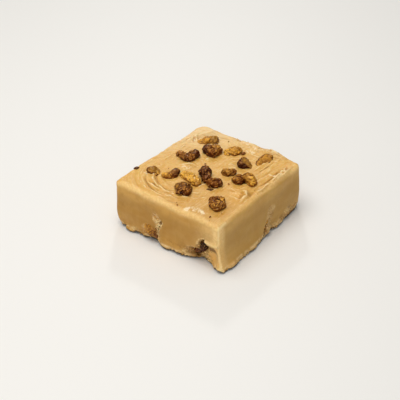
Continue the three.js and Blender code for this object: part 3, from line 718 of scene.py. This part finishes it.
def sweepKnife(relief, x, y, number, halfWidth, height, points):
    near, spots, along, aside, away, thin = followPath(x, y, points, halfWidth + 1.5)
    aside = np.sign(aside) * np.maximum(np.abs(aside), away)
    band = thin * np.exp(-(aside / halfWidth) ** 4)
    flow = np.stack([aside, along / 9, np.full(len(near), float(number))], 1)
    streaks = softNoise(flow, 0.8, number) + 0.6 * softNoise(flow, 0.45, number + 1)
    lip = thin * bell(np.abs(aside) - halfWidth, 0.4)
    ragged = np.maximum(0.5 + softNoise(np.pad(spots, ((0, 0), (0, 1))), 1.8, 6), 0)
    relief[near] += fudge["sweepShare"] * height * (band * streaks + 1.2 * lip * ragged)


def blurred(grid, rounds):
    for _ in range(rounds):
        wide = np.pad(grid, 1, mode="edge")
        grid = (wide[:-2, 1:-1] + wide[2:, 1:-1] + wide[1:-1, :-2] + wide[1:-1, 2:] + 4 * grid) / 8
    return grid


mapSpan, mapStep = 36.0, 0.2


def makeTopMaps():  # the top's height, its fine relief and its pale smears, whose paleness is partly painted sheen, on a grid
    ticks = np.arange(-mapSpan, mapSpan + mapStep / 2, mapStep)
    x, y = np.meshgrid(ticks, ticks, indexing="ij")
    shape = x.shape
    x, y = x.ravel(), y.ravel()
    relief = fudge["strokes"] * knifeStrokes(x, y)
    for number, (halfWidth, height, *points) in enumerate(fudge["sweeps"]):
        sweepKnife(relief, x, y, number, halfWidth, height, points)
    for height, width, *points in fudge["lines"]:
        drawLine(relief, x, y, height, width, points)
    height = plainTop(x, y) + relief
    pale = np.zeros_like(x)
    for *place, amount in fudge["pale"]:
        pale = np.maximum(pale, mound(x, y, *place, amount))
    height = height.reshape(shape)
    relief = height - blurred(height, fudge["reliefSpread"])
    return {"height": height, "relief": relief, "pale": pale.reshape(shape)}


def fromTopMap(key, x, y):
    grid = topMaps[key]
    u, v = (np.clip((place + mapSpan) / mapStep, 0, len(grid) - 1.001) for place in (x, y))
    i, j = u.astype(int), v.astype(int)
    u, v = u - i, v - j
    return ((grid[i, j] * (1 - u) + grid[i + 1, j] * u) * (1 - v)
            + (grid[i, j + 1] * (1 - u) + grid[i + 1, j + 1] * u) * v)


topMaps = makeTopMaps()


def ballDistance(p, place, radii):
    q = (p - place) / radii
    near = np.maximum(np.linalg.norm(q, axis=1), 1e-6)
    return near * (near - 1) / np.maximum(np.linalg.norm(q / radii, axis=1), 1e-6)


def segmentDistance(p, start, end):
    start, end = np.array(start, float), np.array(end, float)
    way = end - start
    share = np.clip((p - start) @ way / (way @ way), 0, 1)
    return np.linalg.norm(p - start - share[:, None] * way, axis=1)


def within(p, low, high, margin):
    return np.all((p > np.array(low) - margin) & (p < np.array(high) + margin), axis=1)


def nutFrame(nut):  # where its lobes are measured from, and how far they are turned
    if "rise" in nut:
        return np.array((*nut["at"], fudge["height"] + nut["rise"])), walnutLook["viewTurn"]
    return np.array(nut["at"]), 0


def nutToLocal(p, nut):
    middle, turn = nutFrame(nut)
    x, y, z = (p - middle).T
    return np.stack([*turned(x, y, -turn), z], 1)


def nutToPlace(p, nut):
    middle, turn = nutFrame(nut)
    return np.stack([*turned(p[:, 0], p[:, 1], turn), p[:, 2]], 1) + middle


def lobeDistances(p, nut):
    squash = np.array(nut["squash"])
    return [(np.linalg.norm(p / squash - lobe[:3], axis=1) - lobe[3]) * squash.min() for lobe in nut["lobes"]]


def joinedLobes(p, nut):
    skin = np.full(len(p), 99.0)
    for lobe in lobeDistances(p, nut):
        skin = softMin(skin, lobe, walnutLook["lobeBlend"])
    return skin


def pastCuts(p, nut):  # how far past each of its cuts
    return [p @ (np.array(facing) / np.linalg.norm(facing)) - at for facing, at in nut["cuts"]]


def plainNut(p, nut):
    return np.max([joinedLobes(p, nut), *pastCuts(p, nut)], axis=0)


def crumble(p):  # how broken the surface is, 0 to 1
    amount = np.zeros(len(p))
    for start, end, reach, most in fudge["crumbly"]:
        amount = np.maximum(amount, most * bell(segmentDistance(p, start, end), reach))
    for place, radii, most in fudge["hollows"]:
        near = within(p, place, place, max(radii) + 3)
        amount[near] = np.maximum(amount[near], most * bell(ballDistance(p[near], place, radii), 0.9))
    return amount


def zoneShare(p, zones):
    amount = np.zeros(len(p))
    for place, radii, most in zones:
        amount = np.maximum(amount, most * np.exp(-np.sum(((p - place) / radii) ** 2, axis=1)))
    return amount


def crumbHeight(p):  # 0 between the crumbs, 1 on the highest
    large, small = fudge["crumbSizes"]
    clumps = ease(-0.7, 0.7, softNoise(p, 3.1, 5))
    return 0.4 * clumps + 0.38 * pebbles(p, large, 1) + 0.22 * pebbles(p, small, 2)


def fudgeField(p):
    x, y, z = p.T
    away, outX, outY, _ = outline(x, y)
    side = away - sideSpread(x, y, z, outX, outY)
    rounding = fudge["topRounding"]
    radius = rounding["rear"] + (rounding["seen"] - rounding["rear"]) * ease(-0.6, 0.6, outX - outY)
    distance = roundedMax(side, z - fromTopMap("height", x, y), radius)
    for place, radii, _ in fudge["hollows"]:
        near = within(p, place, place, max(radii) + 2)
        distance[near] = softMax(distance[near], -ballDistance(p[near], place, radii), 0.4)
    for place, radii in fudge["folds"]:
        near = within(p, place, place, max(radii) + 2)
        distance[near] = softMin(distance[near], ballDistance(p[near], place, radii), fudge["foldBlend"])
    for number, points in enumerate(fudge["seams"]):
        path = alongCurve(points, 9)
        near = np.flatnonzero(within(p, path.min(0), path.max(0), 2.5) & (np.abs(distance) < 3))
        crack = np.full(len(near), 9.0)
        for step, spot in enumerate(path):
            reach = fudge["seamRadius"] * (0.85 + 0.4 * math.sin(1.9 * step + number))
            crack = np.minimum(crack, np.linalg.norm(p[near] - spot, axis=1) - reach)
        distance[near] = softMax(distance[near], -crack, 0.4)
    shallow = np.flatnonzero(np.abs(distance) < 1.6)
    q = p[shallow]
    broken = crumble(q)
    rough = broken > 0.03
    distance[shallow] += 0.08 * softNoise(q, 3.4, 8) + 0.03 * softNoise(q, 1.3, 9)
    foot = fudge["footBand"]
    distance[shallow] += bell(q[:, 2], foot["height"]) * foot["depth"] * (0.25 + roughNoise(q, 2.9, 12))
    distance[shallow[rough]] += broken[rough] * (0.85 - 1.35 * crumbHeight(q[rough]))
    for nut in walnuts.values():
        middle, _ = nutFrame(nut)
        near = within(p, middle, middle, fudge["nutReach"]) & (distance > -1.5) & (distance < 3)
        buried = plainNut(nutToLocal(p[near], nut), nut) + fudge["nutMargin"]
        distance[near] = softMin(distance[near], buried, nut["hug"])
    least, most = fudge["contact"]
    return roundedMax(distance, -z, least + (most - least) * ease(-0.5, 0.6, softNoise(p, 4.2, 7)))


def makeStreaks(finish, x, y):  # the knife's finest streaks, round the bank and straight
    dx, dy = fudge["bank"]["x"] - x, fudge["bank"]["y"] - y
    reach, angle = (dx * dx + dy * dy) ** 0.5, dy.maths("ARCTAN2", dy, dx)
    ring = finish.add("ShaderNodeCombineXYZ", {}, {"X": reach, "Y": angle * 3})
    curved = finish.noise(0.625, 3.0, 0.6, vector=ring)
    straight = finish.noise(0.62, 3.0, 0.6, stretch=(1, 0.12, 1))
    onLeft = (0 - x - 0.25 * y).between(-6, 12)
    return curved * onLeft + straight * (1 - onLeft)


def makeFudgeFinish():
    finish = Finish("fudge", Specular_IOR_Level=0.3, Subsurface_Weight=0.2,
                    Subsurface_Radius=(1.0, 0.55, 0.25), Subsurface_Scale=0.0014)
    top, pale, broken, crumb, hollow, crest, relief, edge, rim, warm, stain, under = finish.attributes(
        "top pale broken crumb hollow crest relief edge rim warm stain under")
    x, y, z = (finish.axis(name) for name in "XYZ")
    blotch = finish.noise(16, 2.0)
    cloud = finish.noise(3.2, 3.0, warp=0.6)
    layers = finish.noise(3.4, 2.0, 0.5, stretch=(0.35, 0.35, 1), warp=0.4)
    drag = finish.noise(1.8, 2.0, 0.5, stretch=(1, 1, 0.14))
    mottle = finish.noise(1.1, 3.0, 0.6)
    grain = finish.noise(0.5, 3.0, 0.6)
    streaks = makeStreaks(finish, x, y)
    seen = top * (0.35 + 0.65 * cloud.between(0.4, 0.6))
    shade = (21 - z).between(0, 5) - 0.4 * (10 - z).between(0, 6)  # darkest at the middle of each side
    side = finish.layered(
        finish.mix(blotch.between(0.35, 0.65), "#c69240", "#d2a04e"),
        (layers, 0.45, 0.75, 0.2, "#e8c078"), (0.5 - layers, 0, 0.25, 0.2, "#b07c34"),
        (drag, 0.5, 0.75, 0.1, "#f0cc88"), (cloud, 0.45, 0.7, 0.3, "#b4843c"))
    side = finish.mix(shade * 0.48, side, "#9b6d25")
    side = finish.layered(side, (x, 24, 31, 0.11, "#dac275"))  # the shaded side is greyer
    spread = finish.layered(
        finish.mix(cloud.between(0.3, 0.7), "#d7a34e", "#dfb05d"), (mottle, 0.5, 0.72, 0.45, "#ecca8d"),
        # painted light falloff: the top darker towards the front corner and paler towards the back-left
        (x - y, 0, 50, 0.6, "#c08935"), (y - x, 15, 55, 0.6, "#f0d6a6"))
    color = finish.layered(
        finish.mix(top, side, spread),
        (streaks, 0.52, 0.7, seen * 0.5, "#f2d59e"), (0.5 - streaks, 0.02, 0.2, seen * 0.5, "#b98742"),
        # painted light and shade on the top's relief: ridges paler, grooves darker
        (relief, 0.03, 0.36, top * 0.85, "#f6dca6"), (0 - relief, 0.03, 0.34, top * 0.8, "#a06c2b"),
        # pale smears: thin glossy spread, its paleness partly painted sheen
        (pale + 2.6 * (mottle - 0.5), 0.2, 1, pale.between(0.1, 0.5) * 0.85, "#f6e2ba"))
    # painted highlights: the pale edges, then the thin bright lines
    color = finish.mix(edge * (0.7 + 0.3 * mottle.between(0.4, 0.6)), color, "#fcd894")
    color = finish.mix(rim * (0.8 + 0.2 * mottle.between(0.4, 0.6)), color, "#ffe2a6")
    # crumbs: crowns painted paler and the gaps between painted darker as shade, and darker again on the
    # shaded side
    crumbs = finish.layered(
        finish.mix(crumb.between(0.35, 0.8), "#ac7a38", "#eac788"), (grain, 0.52, 0.62, 0.7, "#f4d8a2"),
        (0.5 - grain, 0.03, 0.12, 0.6, "#94682c"), (x, 24, 31, (1 - top) * 0.3, "#a27837"))
    color = finish.layered(color, (broken, 0.05, 0.8, 0.95, crumbs),
                           # painted highlights on the crests
                           (crest, 0.2, 0.65, mottle.between(0.3, 0.6) * 0.7, "#f4d89c"))
    # warmer, lighter brown: partly painted glow near the front corner and on the notch's slope
    color = finish.mix(warm * (0.5 + 0.5 * cloud.between(0.35, 0.65)), color, "#eeb458")
    # painted shade and darker brown patches, from the darkening zones and the undersides of ledges
    darkened = finish.mix(stain.between(0.75, 1.2), "#96661f", "#5a3410")
    color = finish.layered(color, (stain * (2.4 * mottle - 0.2), 0.15, 1.1, 0.75, darkened),
                           # painted shade in the hollows
                           (hollow, 0.2, 0.8, 0.3 + 0.25 * broken, "#76501e"))
    # painted shadow along the bottom edge where it turns under
    finish.feed("Base Color", finish.mix(under * 0.95, color, "#2e1d08"))
    finish.feed("Roughness", 0.52 - 0.1 * top - 0.16 * pale + 0.12 * broken + 0.15 * (cloud - 0.5))
    soft = finish.bump(cloud, 0.3, 0.3)
    fine = finish.bump(grain + 0.7 * mottle + 0.8 * seen * streaks + 0.15 * drag, 0.4, 0.14, soft)
    finish.feed("Normal", fine)
    return finish.material


def cavities(points, normals, field, depth):  # how far a spot lies in a hollow, and on a crest
    hollow = np.clip(1 - field(points + depth * normals) / depth, 0, 1)
    crest = np.clip(1 + field(points - depth * normals) / depth, 0, 1)
    return hollow, crest


def makeFudge():
    points, faces = surfaceNet(fudgeField, fudge["meshFrom"], fudge["meshTo"], fudge["meshStep"])
    points, normals = settle(points, fudgeField)
    points[:, 2] = np.maximum(points[:, 2], 0)
    x, y, z = points.T
    below = fromTopMap("height", x, y) - z
    top = ease(0.35, 0.85, normals[:, 2]) * ease(4, 2, below)
    # hollow feeds painted shade in hollows and cracks, crest feeds painted highlights on crests and edges
    hollow, crest = cavities(points, normals, fudgeField, 0.9)
    away, outX, outY, cornerDepth = outline(x, y)
    side = away - sideSpread(x, y, z, outX, outY)
    fromRim = np.abs(side) + np.abs(below) * (1 + 0.9 * (outX > 0.5) * ease(-4, -12, cornerDepth))
    onLeft, atFront = outY < -0.5, (x > 0) * (y < 0)
    edge = np.max([  # painted highlight: pale along the top's edge, near the front corner and on the corner itself
        (0.75 + 0.15 * onLeft) * (outX > outY) * bell(fromRim - 0.6, 1.5),
        (0.1 + 0.4 * onLeft) * atFront * ease(-17, 0, cornerDepth) * (1 - 0.8 * top),
        (0.55 + 0.35 * ease(9, 19, z)) * atFront * ease(-4.5, -0.5, cornerDepth) * (1 - 0.6 * top)], axis=0)
    level = np.maximum(np.hypot(normals[:, 0], normals[:, 1]), 0.4)  # the edge's top end tilts upward
    cornerFacing = (normals[:, 0] - normals[:, 1]) / (math.sqrt(2) * level)
    lip = bell(z - 2.2, 0.45) * ease(-0.3, 0.3, softNoise(points, 2.1, 14)) * ((outX > 0.5) | onLeft)
    rim = np.max([  # painted highlights: thin bright lines on the front corner, the lip of the foot and the sharp lips
        atFront * ease(-4, -1, cornerDepth) * ease(0.93, 0.99, cornerFacing) * (1 - hollow),
        0.8 * lip * (1 - hollow),
        *(0.8 * bell(segmentDistance(points, *ends), reach) for *ends, reach in fudge["lit"])], axis=0)
    # painted shade on the undersides of ledges above the foot
    ledge = 0.45 * ease(-0.1, -0.45, normals[:, 2]) * ease(2, 4, z)
    values = {
        "top": top, "pale": fromTopMap("pale", x, y) * top, "relief": fromTopMap("relief", x, y),
        "broken": crumble(points), "crumb": crumbHeight(points), "hollow": hollow,
        "crest": crest * (z > 0.3), "edge": edge, "rim": rim,
        "under": ease(0.25, 0, normals[:, 2]) * ease(2.1, 1.3, z),  # painted shadow in the dark gap over the floor
        "warm": zoneShare(points, fudge["warm"]), "stain": zoneShare(points, fudge["darkened"]) + ledge,
    }
    showPiece("fudge", makeMesh("fudge", points, faces, values), "fudge_slice", makeFudgeFinish(), True)
    print("fudge:", len(points), "points,", len(faces), "faces")
    return points, faces, values


def nutFolds(p, seed):  # 0 on the ridges, 1 in the folds and in the valleys between small lobes
    look = walnutLook
    warped = p + 0.7 * np.stack([softNoise(p, 1.6, seed + n) for n in (1, 2, 3)], 1)
    fold = bell(softNoise(warped, look["foldSize"], seed), look["foldWidth"])
    valley = 1 - ease(0.5, 0.95, pebbles(warped, look["valleySize"], seed + 4))
    return fold, valley


def nutField(p, nut, seed):
    look = walnutLook
    fold, valley = nutFolds(p, seed)
    skin = joinedLobes(p, nut) + 0.05 + look["lumps"] * softNoise(p, 1.9, seed + 8)
    rough = look["foldDepth"] * fold + look["valleyDepth"] * (valley - 0.4)
    skin += (1 - nut.get("calm", nut["smear"])) * rough
    distance = skin
    for past in pastCuts(p, nut):
        flesh = past + 0.25 * softNoise(p, 1.5, seed + 6) + 0.22 * fold + 0.12 * valley
        distance = softMax(distance, flesh, 0.35)
    return distance, skin, fold, valley


def makeWalnut(name, nut, seed, material):
    def skinOnly(p):
        return nutField(p, nut, seed)[0]

    reach = [0.7 + max((abs(lobe[n]) + lobe[3]) * nut["squash"][n] for lobe in nut["lobes"])
             for n in range(3)]
    points, faces = surfaceNet(skinOnly, [-r for r in reach], reach, walnutLook["meshStep"])
    points, normals = settle(points, skinOnly)
    _, skin, fold, valley = nutField(points, nut, seed)
    lobes = np.stack(lobeDistances(points, nut), 1)
    share = np.exp(-(lobes - lobes.min(1, keepdims=True)) / 0.6)
    share /= share.sum(1, keepdims=True)
    tones = {key: np.array(linearColor(color)) for key, color in walnutLook["toneColors"].items()}
    color = share @ np.array([tones[lobe[4]] for lobe in nut["lobes"]])
    flesh = ease(0.05, 0.3, -skin)
    if "flesh" in nut:
        color = color + flesh[:, None] * (tones[nut["flesh"]] - color)
    # hollow and crest feed painted shade deep in the folds and painted highlights on the crests
    hollow, crest = cavities(points, normals, skinOnly, 0.45)
    groove = np.clip(0.8 * fold + 0.9 * valley ** 2, 0, 1)
    groove = groove * (1 - 0.4 * flesh) * (1 - 0.8 * nut["smear"])
    # crown: how far a spot faces shownWay, the side the finish paints lit
    crown = ease(0.25, 0.95, normals @ np.array(nut["shownWay"]))
    values = {"groove": groove, "crown": crown, "crest": crest, "hollow": hollow, "flesh": flesh,
              "smear": np.full(len(points), float(nut["smear"]))}
    mesh = makeMesh(name, nutToPlace(points, nut), faces, values, {"tone": color})
    showPiece(name + "_shown", mesh, name, material, True)
    return len(faces)


def makeWalnutFinish():
    finish = Finish("walnut", Specular_IOR_Level=0.06, Coat_Weight=0.2, Coat_Roughness=0.12,
                    Subsurface_Weight=0.05, Subsurface_Radius=(1.0, 0.4, 0.12), Subsurface_Scale=0.0008)
    groove, crown, crest, hollow, flesh, smear = finish.attributes("groove crown crest hollow flesh smear")
    tone, = finish.attributes("tone", "Color")
    mottle = finish.noise(1.5, 2.0, 0.55)
    grain = finish.noise(0.35, 2.0)
    veins = finish.noise(1.6, 1.0, 0.5, warp=1.0) - 0.5
    vein = 1 - veins.maths("ABSOLUTE", veins).between(0, 0.04)
    lighter = finish.mix(0.45, finish.mix(1.0, tone, (2.5, 2.5, 1.7, 1), "MULTIPLY"), "#cd9f4d")
    darker = finish.mix(1.0, tone, (0.3, 0.15, 0.05, 1), "MULTIPLY")
    # painted light: the side facing shownWay lightened and mottled, painted highlights on the crests, the cut
    # flesh a little lighter by its own colour
    lit = crown * (0.05 + 0.7 * mottle.between(0.42, 0.6) + 0.5 * crest.between(0.1, 0.6)) + 0.1 * flesh
    color = finish.mix(lit * 0.9, tone, lighter)
    # painted shade: all sides turned away from shownWay are darkened
    buried = (1 - crown) * (1 - flesh) * 0.85
    # veins are the skin's own lines; the folds are darker partly by the skin's own colour and partly as
    # painted shade, more where hollow
    for share in (vein * 0.35 * (1 - smear), groove * (0.6 + 0.4 * hollow), buried):
        color = finish.mix(share, color, darker)
    coat = finish.noise(2.2, 2.0)
    finish.feed("Base Color", finish.layered(color, (coat, 0.42, 0.6, smear * 0.8, "#d4a052")))
    finish.feed("Roughness", 0.16 + 0.2 * grain + 0.15 * groove)
    finish.feed("Normal", finish.bump(0.6 * grain + 0.6 * mottle - 0.5 * vein, 0.35, 0.1))
    return finish.material


nutBits = {
    "tones": {"dark": "#3a1c0a", "brown": "#7a4416", "olive": "#6e5014", "tan": "#a87434"},
    "noise": 0.35, "around": 14, "along": 9,
    "pieces": [
        # place, half lengths, turn, tone
        ((-29.6, -18.3, 24.6), (1.4, 0.9, 0.7), 50, "dark"), ((3, 22.4, 24.9), (1.3, 0.9, 0.6), 80, "brown"),
        ((22.2, -27.9, 24.7), (0.5, 0.35, 0.3), 70, "brown"),
        ((4.6, -29.6, 24.6), (0.4, 0.3, 0.3), 10, "tan"), ((13, -2.3, 24.8), (0.4, 0.3, 0.3), 0, "tan"),
        ((-25.3, 20.3, 25), (0.4, 0.25, 0.25), 40, "brown"),
        ((-9.2, 26.7, 24.8), (0.35, 0.3, 0.25), 0, "tan"),
        ((-17.4, -9.4, 24.7), (0.45, 0.3, 0.3), 120, "tan"), ((3.3, -28.5, 24.7), (0.25, 0.2, 0.2), 0, "tan"),
        # the dark bit at (8.6, -11.2) is a chip of nut skin whose dark tone is partly painted shadow of the
        # long nut
        ((24.6, -22.6, 24.6), (0.25, 0.2, 0.2), 15, "tan"), ((8.6, -11.2, 24.6), (1.6, 0.6, 0.5), 35, "dark"),
        ((-6.3, 4.4, 24.7), (0.6, 0.3, 0.25), 60, "tan"), ((-5.6, -32.6, 8), (0.9, 0.6, 1.1), 0, "brown"),
        ((-6.4, -32.7, 3.6), (1.2, 0.6, 0.9), 0, "brown"), ((16.8, -30.6, 2), (0.8, 0.5, 0.6), 30, "olive"),
    ],
}

scatters = {  # a node named for each, pieces per square metre, smallest and largest size
    "fudge_crumbs": {"on": "fudge_slice", "density": 520000, "sizes": (0.16, 0.5), "seed": 4},
    "nut_specks": {"on": "walnut_long", "density": 9000, "sizes": (0.08, 0.2), "seed": 9},
}
scattersFrom = 0.8  # the lowest that one starts


def roundGrid(around, along):  # a sphere's directions and faces
    turns, rings = 2 * np.pi * np.arange(around) / around, np.pi * np.arange(1, along) / along
    body = [(math.sin(r) * math.cos(t), math.sin(r) * math.sin(t), math.cos(r))
            for r in rings for t in turns]
    ways = np.array([(0, 0, 1), *body, (0, 0, -1)])
    last, faces = len(ways) - 1, []
    for j, k in zip(range(around), [*range(1, around), 0]):
        faces += [(0, 1 + j, 1 + k), (last, last - around + k, last - around + j)]
        faces += [(low + j, low + around + j, low + around + k, low + k)
                  for low in range(1, last - around, around)]
    return ways, faces


def makeNutBits():
    ways, oneFaces = roundGrid(nutBits["around"], nutBits["along"])
    points, faces, tones = [], [], []
    for number, (place, half, turn, tone) in enumerate(nutBits["pieces"]):
        x, y, z = (ways * (1 + nutBits["noise"] * softNoise(ways, 0.7, number)[:, None]) * half).T
        points.append(np.stack([*turned(x, y, turn), z], 1) + place)
        faces += [[corner + number * len(ways) for corner in face] for face in oneFaces]
        tones += [linearColor(nutBits["tones"][tone])] * len(ways)
    finish = Finish("nutBits", Roughness=0.4, Specular_IOR_Level=0.2)
    tone, = finish.attributes("tone", "Color")
    finish.feed("Base Color", finish.layered(tone, (finish.noise(0.5, 2.0), 0.4, 0.6, 0.6, "#8a5a26")))
    mesh = makeMesh("nut_bits", np.concatenate(points), faces, colors={"tone": np.array(tones)})
    showPiece("nut_bits", mesh, "walnut_long", finish.material)


def scatterTree():  # small lumps on a mesh's faces, thickest where its mask is 1
    tree = bpy.data.node_groups.new("scatter", "GeometryNodeTree")
    for name, kind in {"Ground": "Geometry", "Density": "Float", "Smallest": "Float", "Largest": "Float",
                       "Seed": "Int", "Material": "Material"}.items():
        tree.interface.new_socket(name, in_out="INPUT", socket_type="NodeSocket" + kind)
    tree.interface.new_socket("Lumps", in_out="OUTPUT", socket_type="NodeSocketGeometry")
    nodes = Nodes(tree)
    given = nodes.add("NodeGroupInput", output="Ground")
    seed = given.other("Seed")
    mask = nodes.add("GeometryNodeInputNamedAttribute", {"data_type": "FLOAT"}, {"Name": "mask"},
                     "Attribute")
    spots = nodes.add("GeometryNodeDistributePointsOnFaces", {"distribute_method": "RANDOM"}, {
        "Mesh": given, "Density": mask * given.other("Density"), "Seed": seed})
    ball = nodes.add("GeometryNodeMeshUVSphere", {}, {"Segments": 8, "Rings": 6, "Radius": 1.0})
    push = nodes.add("ShaderNodeTexNoise", {}, {"Scale": 1.1, "Detail": 1.0}, "Color")
    push = nodes.add("ShaderNodeVectorMath", {"operation": "SUBTRACT"}, {0: push, 1: (0.5, 0.5, 0.5)})
    lump = nodes.add("GeometryNodeSetPosition", {}, {"Geometry": ball, "Offset": push})
    turn = nodes.add("FunctionNodeRandomValue", {"data_type": "FLOAT_VECTOR"}, {
        "Min": (0, 0, 0), "Max": (6.28, 6.28, 6.28), "Seed": seed + 1})
    size = nodes.add("FunctionNodeRandomValue", {"data_type": "FLOAT_VECTOR"}, {
        "Min": given.other("Smallest"), "Max": given.other("Largest"), "Seed": seed + 2})
    placed = nodes.add("GeometryNodeInstanceOnPoints", {}, {
        "Points": spots, "Instance": lump, "Rotation": turn, "Scale": size})
    joined = nodes.add("GeometryNodeRealizeInstances", {}, {"Geometry": placed})
    finished = nodes.add("GeometryNodeSetMaterial", {}, {
        "Geometry": joined, "Material": given.other("Material")})
    nodes.add("NodeGroupOutput", {}, {"Lumps": finished})
    return tree


def makeScatter(name, tree, points, faces, mask, finish):
    look = scatters[name]
    holder = addToScene(name + "Ground", makeMesh(name + "Ground", points, faces, {"mask": mask}))
    modifier = holder.modifiers.new("scatter", "NODES")
    modifier.node_group = tree
    smallest, largest = look["sizes"]
    given = {"Density": float(look["density"]), "Smallest": smallest * mm, "Largest": largest * mm,
             "Seed": look["seed"], "Material": finish.material}
    for item in tree.interface.items_tree:
        if item.name in given:
            modifier[item.identifier] = given[item.name]
    bpy.context.view_layer.update()
    made = bpy.data.meshes.new_from_object(holder.evaluated_get(bpy.context.evaluated_depsgraph_get()))
    bpy.data.objects.remove(holder)
    showPiece(name, made, look["on"])
    print(name + ":", len(made.polygons), "faces")


def makeScatters(points, faces, values):
    shown = points[:, 2] > scattersFrom
    crumbs = Finish("crumbs", Roughness=0.6, Specular_IOR_Level=0.3)
    crumbColor = crumbs.mix(crumbs.noise(2.0, 2.0).between(0.35, 0.65), "#c9974a", "#f0d092")
    # crumbs on the shaded side painted darker as shade
    crumbs.feed("Base Color", crumbs.layered(crumbColor, (crumbs.axis("X"), 24, 31, 0.35, "#b38643")))
    specks = Finish("specks", Roughness=0.45, Specular_IOR_Level=0.2)
    specks.feed("Base Color", specks.mix(specks.noise(3.0, 1.0).between(0.4, 0.6), "#5a3010", "#96622a"))
    tree = scatterTree()
    crumbly = np.clip(values["broken"] * 1.4 - 0.35, 0, 1)
    speckled = 0.5 * values["top"] + values["broken"]
    makeScatter("fudge_crumbs", tree, points, faces, crumbly * shown, crumbs)
    makeScatter("nut_specks", tree, points, faces, speckled * shown, specks)


setUpCamera()
setUpLights()
makeFloor()
print("stage ready")
fudgeShell = makeFudge()
makeScatters(*fudgeShell)
walnutMaterial = makeWalnutFinish()
total = sum(makeWalnut(name, nut, 10 * i, walnutMaterial) for i, (name, nut) in enumerate(walnuts.items()))
print("walnuts:", len(walnuts), "with", total, "faces")
makeNutBits()
